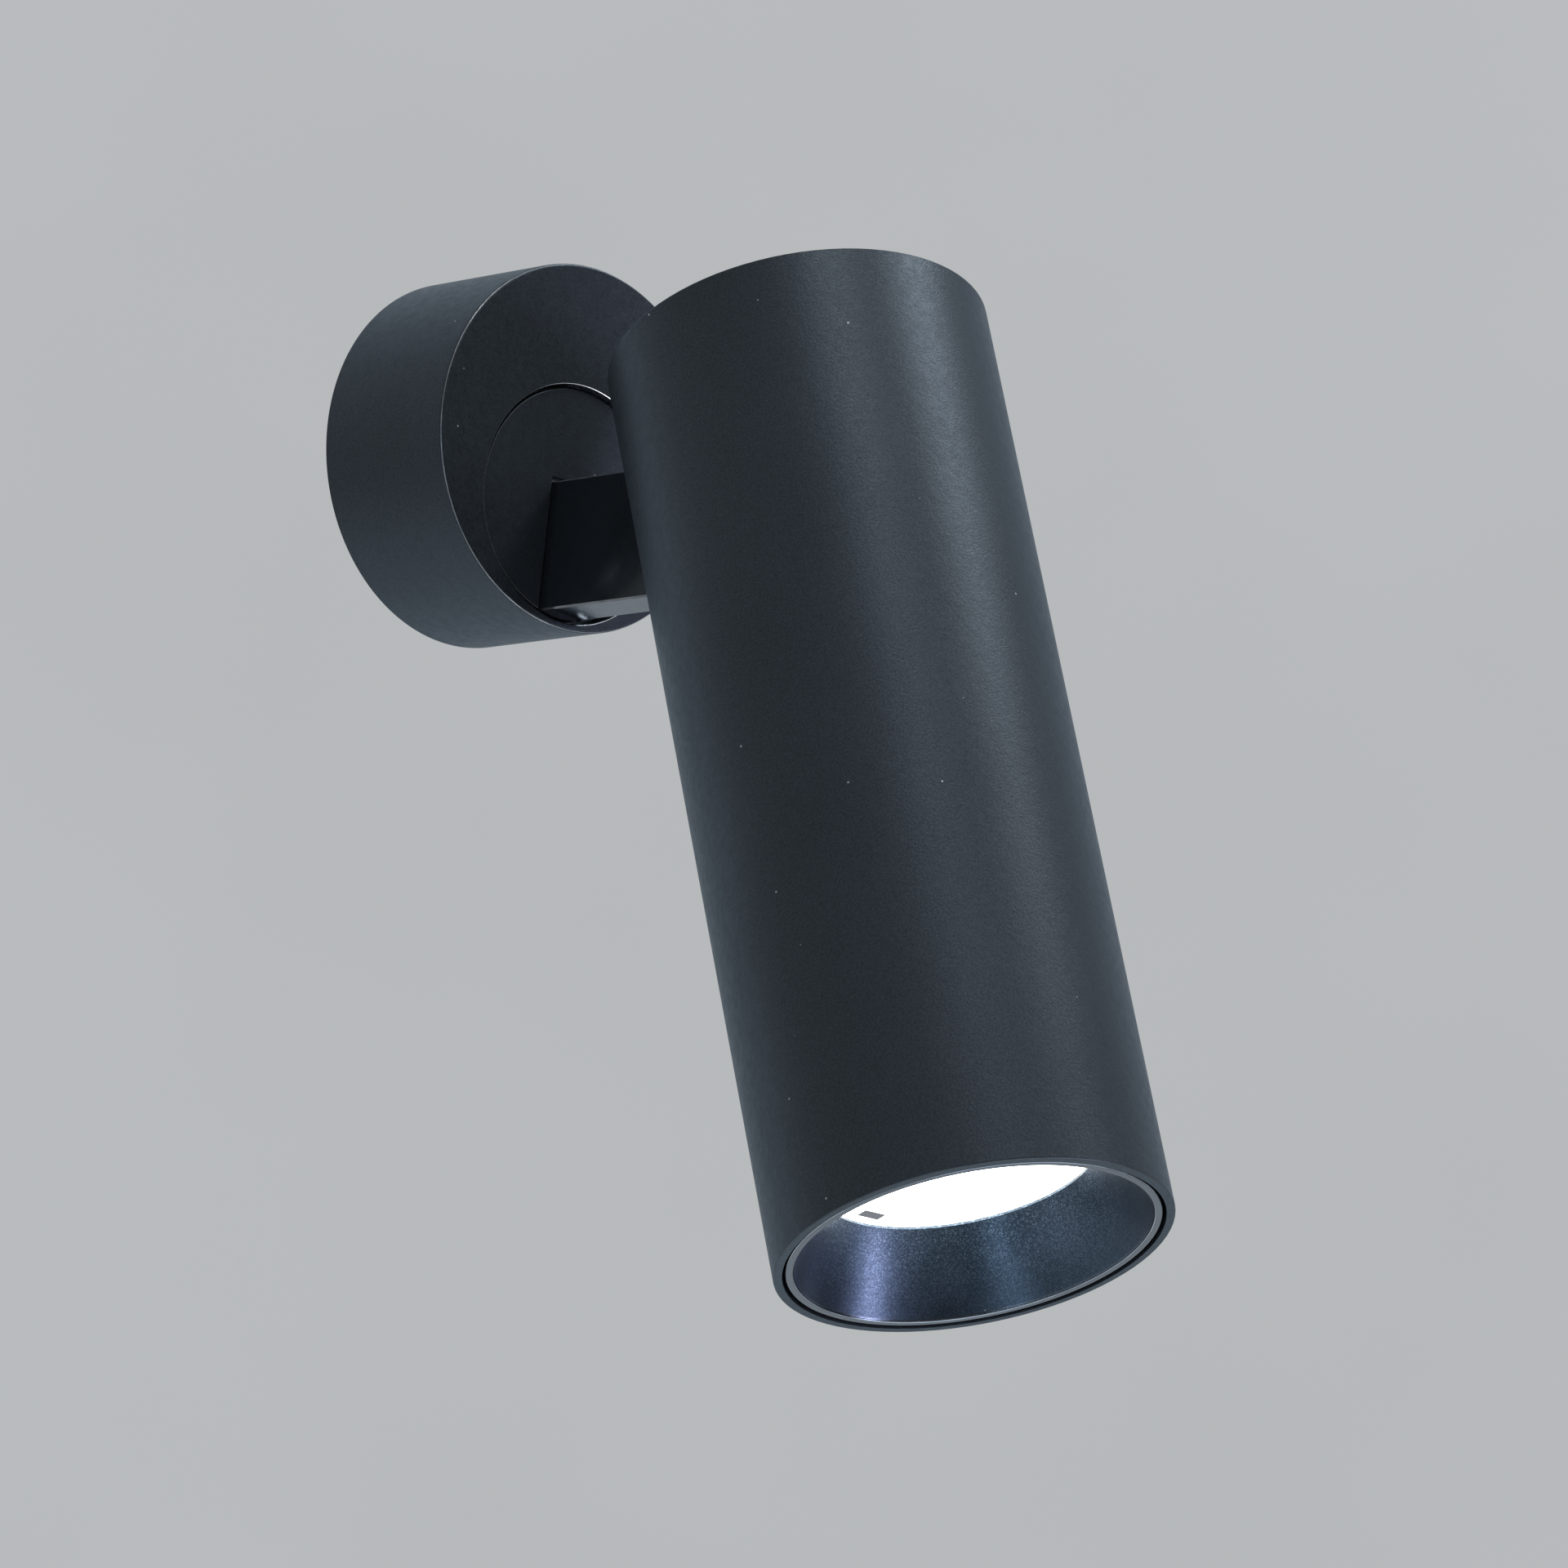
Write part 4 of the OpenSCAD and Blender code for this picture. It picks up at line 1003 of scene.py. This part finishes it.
class SPOTLIGHT_OT_driver(bpy.types.Operator):
    """Finishes the driver's case and the tie rods, and details the case's screws"""

    bl_idname = "spotlight.driver"
    bl_label = "Driver"

    def execute(self, context):
        dress("moulded_white", "driver_case", "driver_lid")
        dress("rod_thread", "tie_rods")
        dress("head_steel", "tie_nuts")
        places = [
            screw_place(HEAD_FRAME, side * DRIVER_SCREW_OUT, -DRIVER_SCREW_FORWARD, DRIVER_SCREW_FACE)
            for side in BOTH_SIDES
        ]
        detailed_screws(
            "driver_screws", "driver_screws_crossed", "head_steel", "head",
            kind="cross", width=3 * MM, depth=1.1 * MM, places=places,
        )
        return {"FINISHED"}


class SPOTLIGHT_OT_hinge(bpy.types.Operator):
    """Finishes the yoke, the hinge bolt and its washers and nut"""

    bl_idname = "spotlight.hinge"
    bl_label = "Hinge"

    def execute(self, context):
        dress("cast_aluminium", "yoke")
        dress("head_steel", "hinge_bolt", "hinge_lock_washer", "hinge_nut")
        dress("moulded_white", "hinge_washers")
        return {"FINISHED"}


class SPOTLIGHT_OT_yoke_screws(bpy.types.Operator):
    """Details the two countersunk screws in the rear of the tube"""

    bl_idname = "spotlight.yoke_screws"
    bl_label = "Yoke screws"

    def execute(self, context):
        outward = Matrix.Rotation(math.radians(-90), 4, "X")
        rear = Matrix.Translation((0, HEAD_R - YOKE_SCREW_SUNK, YOKE_TOP + YOKE_SCREW_ABOVE)) @ outward
        places = [
            HEAD_FRAME @ Matrix.Rotation(math.radians(-side * YOKE_SCREW_ANGLE), 4, "Z") @ rear
            for side in BOTH_SIDES
        ]
        detailed_screws(
            "yoke_screws", "yoke_screws_socketed", "blackened_steel", "head",
            kind="hex", width=2 * MM, depth=1.3 * MM, places=places,
        )
        return {"FINISHED"}


class SPOTLIGHT_OT_turret_works(bpy.types.Operator):
    """Finishes the puck, its spindle, washers and nut, and the plate that carries it"""

    bl_idname = "spotlight.turret_works"
    bl_label = "Turret works"

    def execute(self, context):
        dress("turned_aluminium", "turret_carrier")
        dress("turned_steel", "wave_washer", "spindle_washer", "stop_pin")
        dress("turned_brass", "spindle_nut")
        dress("blackened_steel", "arm_grub_screws", "base_grub_screw")
        dress("moulded_white", "slip_washer")
        dress("bracket_sheet", "bearing_plate")
        places = []
        for angle in PLATE_SCREW_ANGLES:
            x = PLATE_SCREW_CIRCLE_R * math.cos(math.radians(angle))
            y = PLATE_SCREW_CIRCLE_R * math.sin(math.radians(angle))
            places.append(screw_place(WALL_FRAME, x, y, PLATE_SCREW_FACE, inward=True))
        detailed_screws(
            "bearing_plate_screws", "bearing_plate_screws_socketed", "turned_steel", "base",
            kind="hex", width=2 * MM, depth=1.1 * MM, places=places,
        )
        return {"FINISHED"}


class SPOTLIGHT_OT_wall_fixings(bpy.types.Operator):
    """Finishes the wall bracket, the grommet and the terminal block, and details their screws"""

    bl_idname = "spotlight.wall_fixings"
    bl_label = "Wall fixings"

    def execute(self, context):
        dress("bracket_sheet", "wall_bracket")
        dress("black_rubber", "cable_grommet")
        dress("turned_steel", "earth_washer")
        dress("moulded_white", "terminal_block")
        detailed_screws(
            "earth_screw", "earth_screw_crossed", "turned_brass", "base",
            kind="cross", width=4 * MM, depth=1.4 * MM, places=[screw_place(WALL_FRAME, *EARTH_SCREW_PLACE)],
        )
        places = [
            screw_place(WALL_FRAME, TERMINAL_MIDDLE + way * TERMINAL_PITCH, TERMINAL_UP, TERMINAL_SCREW_FACE)
            for way in (-1, 0, 1)
        ]
        detailed_screws(
            "terminal_screws", "terminal_screws_slotted", "turned_steel", "base",
            kind="slot", width=4.4 * MM, depth=0.8 * MM, places=places,
        )
        return {"FINISHED"}


class SPOTLIGHT_OT_stage(bpy.types.Operator):
    """Sets the pale floor and backdrop, the soft lights, the surroundings and the camera"""

    bl_idname = "spotlight.stage"
    bl_label = "Stage"

    def execute(self, context):
        stage = context.scene.spotlight_stage
        sweep = swept_floor(stage.floor_drop)
        sweep.data.materials.append(pale_floor(stage.backdrop_level))
        soft_lamp("key_light", stage.key_power, toward=(0.45, -0.33, 0.83))
        soft_lamp("top_light", stage.top_power, toward=(-0.24, -0.39, 0.89))
        soft_lamp(
            "front_light", stage.front_power, toward=(0.46, -0.87, -0.14), size=(0.2, 0.6),
            colour=(0.86, 0.78, 1.0),
        )
        soft_lamp(
            "left_light", stage.left_power, toward=(-0.86, -0.49, -0.15), size=(0.25, 0.5),
            colour=(0.75, 0.88, 1.0),
        )
        soft_lamp("low_light", stage.low_power, toward=(0.3, -0.33, -0.9), away=1.2, size=(0.7, 0.7))
        surroundings(stage.air_level)
        photo_camera(stage.focal_length)
        return {"FINISHED"}


# Panel and registration

PIECES = (
    SPOTLIGHT_OT_effects,
    SPOTLIGHT_OT_coated_shells,
    SPOTLIGHT_OT_mouth,
    SPOTLIGHT_OT_light_source,
    SPOTLIGHT_OT_driver,
    SPOTLIGHT_OT_hinge,
    SPOTLIGHT_OT_yoke_screws,
    SPOTLIGHT_OT_turret_works,
    SPOTLIGHT_OT_wall_fixings,
    SPOTLIGHT_OT_stage,
)
SETTINGS = {
    "spotlight_coat": SpotlightCoat,
    "spotlight_mouth": SpotlightMouth,
    "spotlight_stage": SpotlightStage,
}


class SPOTLIGHT_PT_sidebar(bpy.types.Panel):
    """Lists the spotlight's settings and pieces"""

    bl_label = "Spotlight"
    bl_idname = "SPOTLIGHT_PT_sidebar"
    bl_space_type = "VIEW_3D"
    bl_region_type = "UI"
    bl_category = "Spotlight"

    def draw(self, context):
        for name, kind in SETTINGS.items():
            box = self.layout.box()
            for key in kind.__annotations__:
                box.prop(getattr(context.scene, name), key)
        for piece in PIECES:
            self.layout.operator(piece.bl_idname)


def register():
    for kind in (*SETTINGS.values(), *PIECES, SPOTLIGHT_PT_sidebar):
        bpy.utils.register_class(kind)
    for name, kind in SETTINGS.items():
        setattr(bpy.types.Scene, name, bpy.props.PointerProperty(type=kind))


def unregister():
    for name in SETTINGS:
        delattr(bpy.types.Scene, name)
    for kind in reversed((*SETTINGS.values(), *PIECES, SPOTLIGHT_PT_sidebar)):
        bpy.utils.unregister_class(kind)


def main():
    register()
    for piece in PIECES:
        area, name = piece.bl_idname.split(".")
        getattr(getattr(bpy.ops, area), name)()


if __name__ == "__main__":
    main()
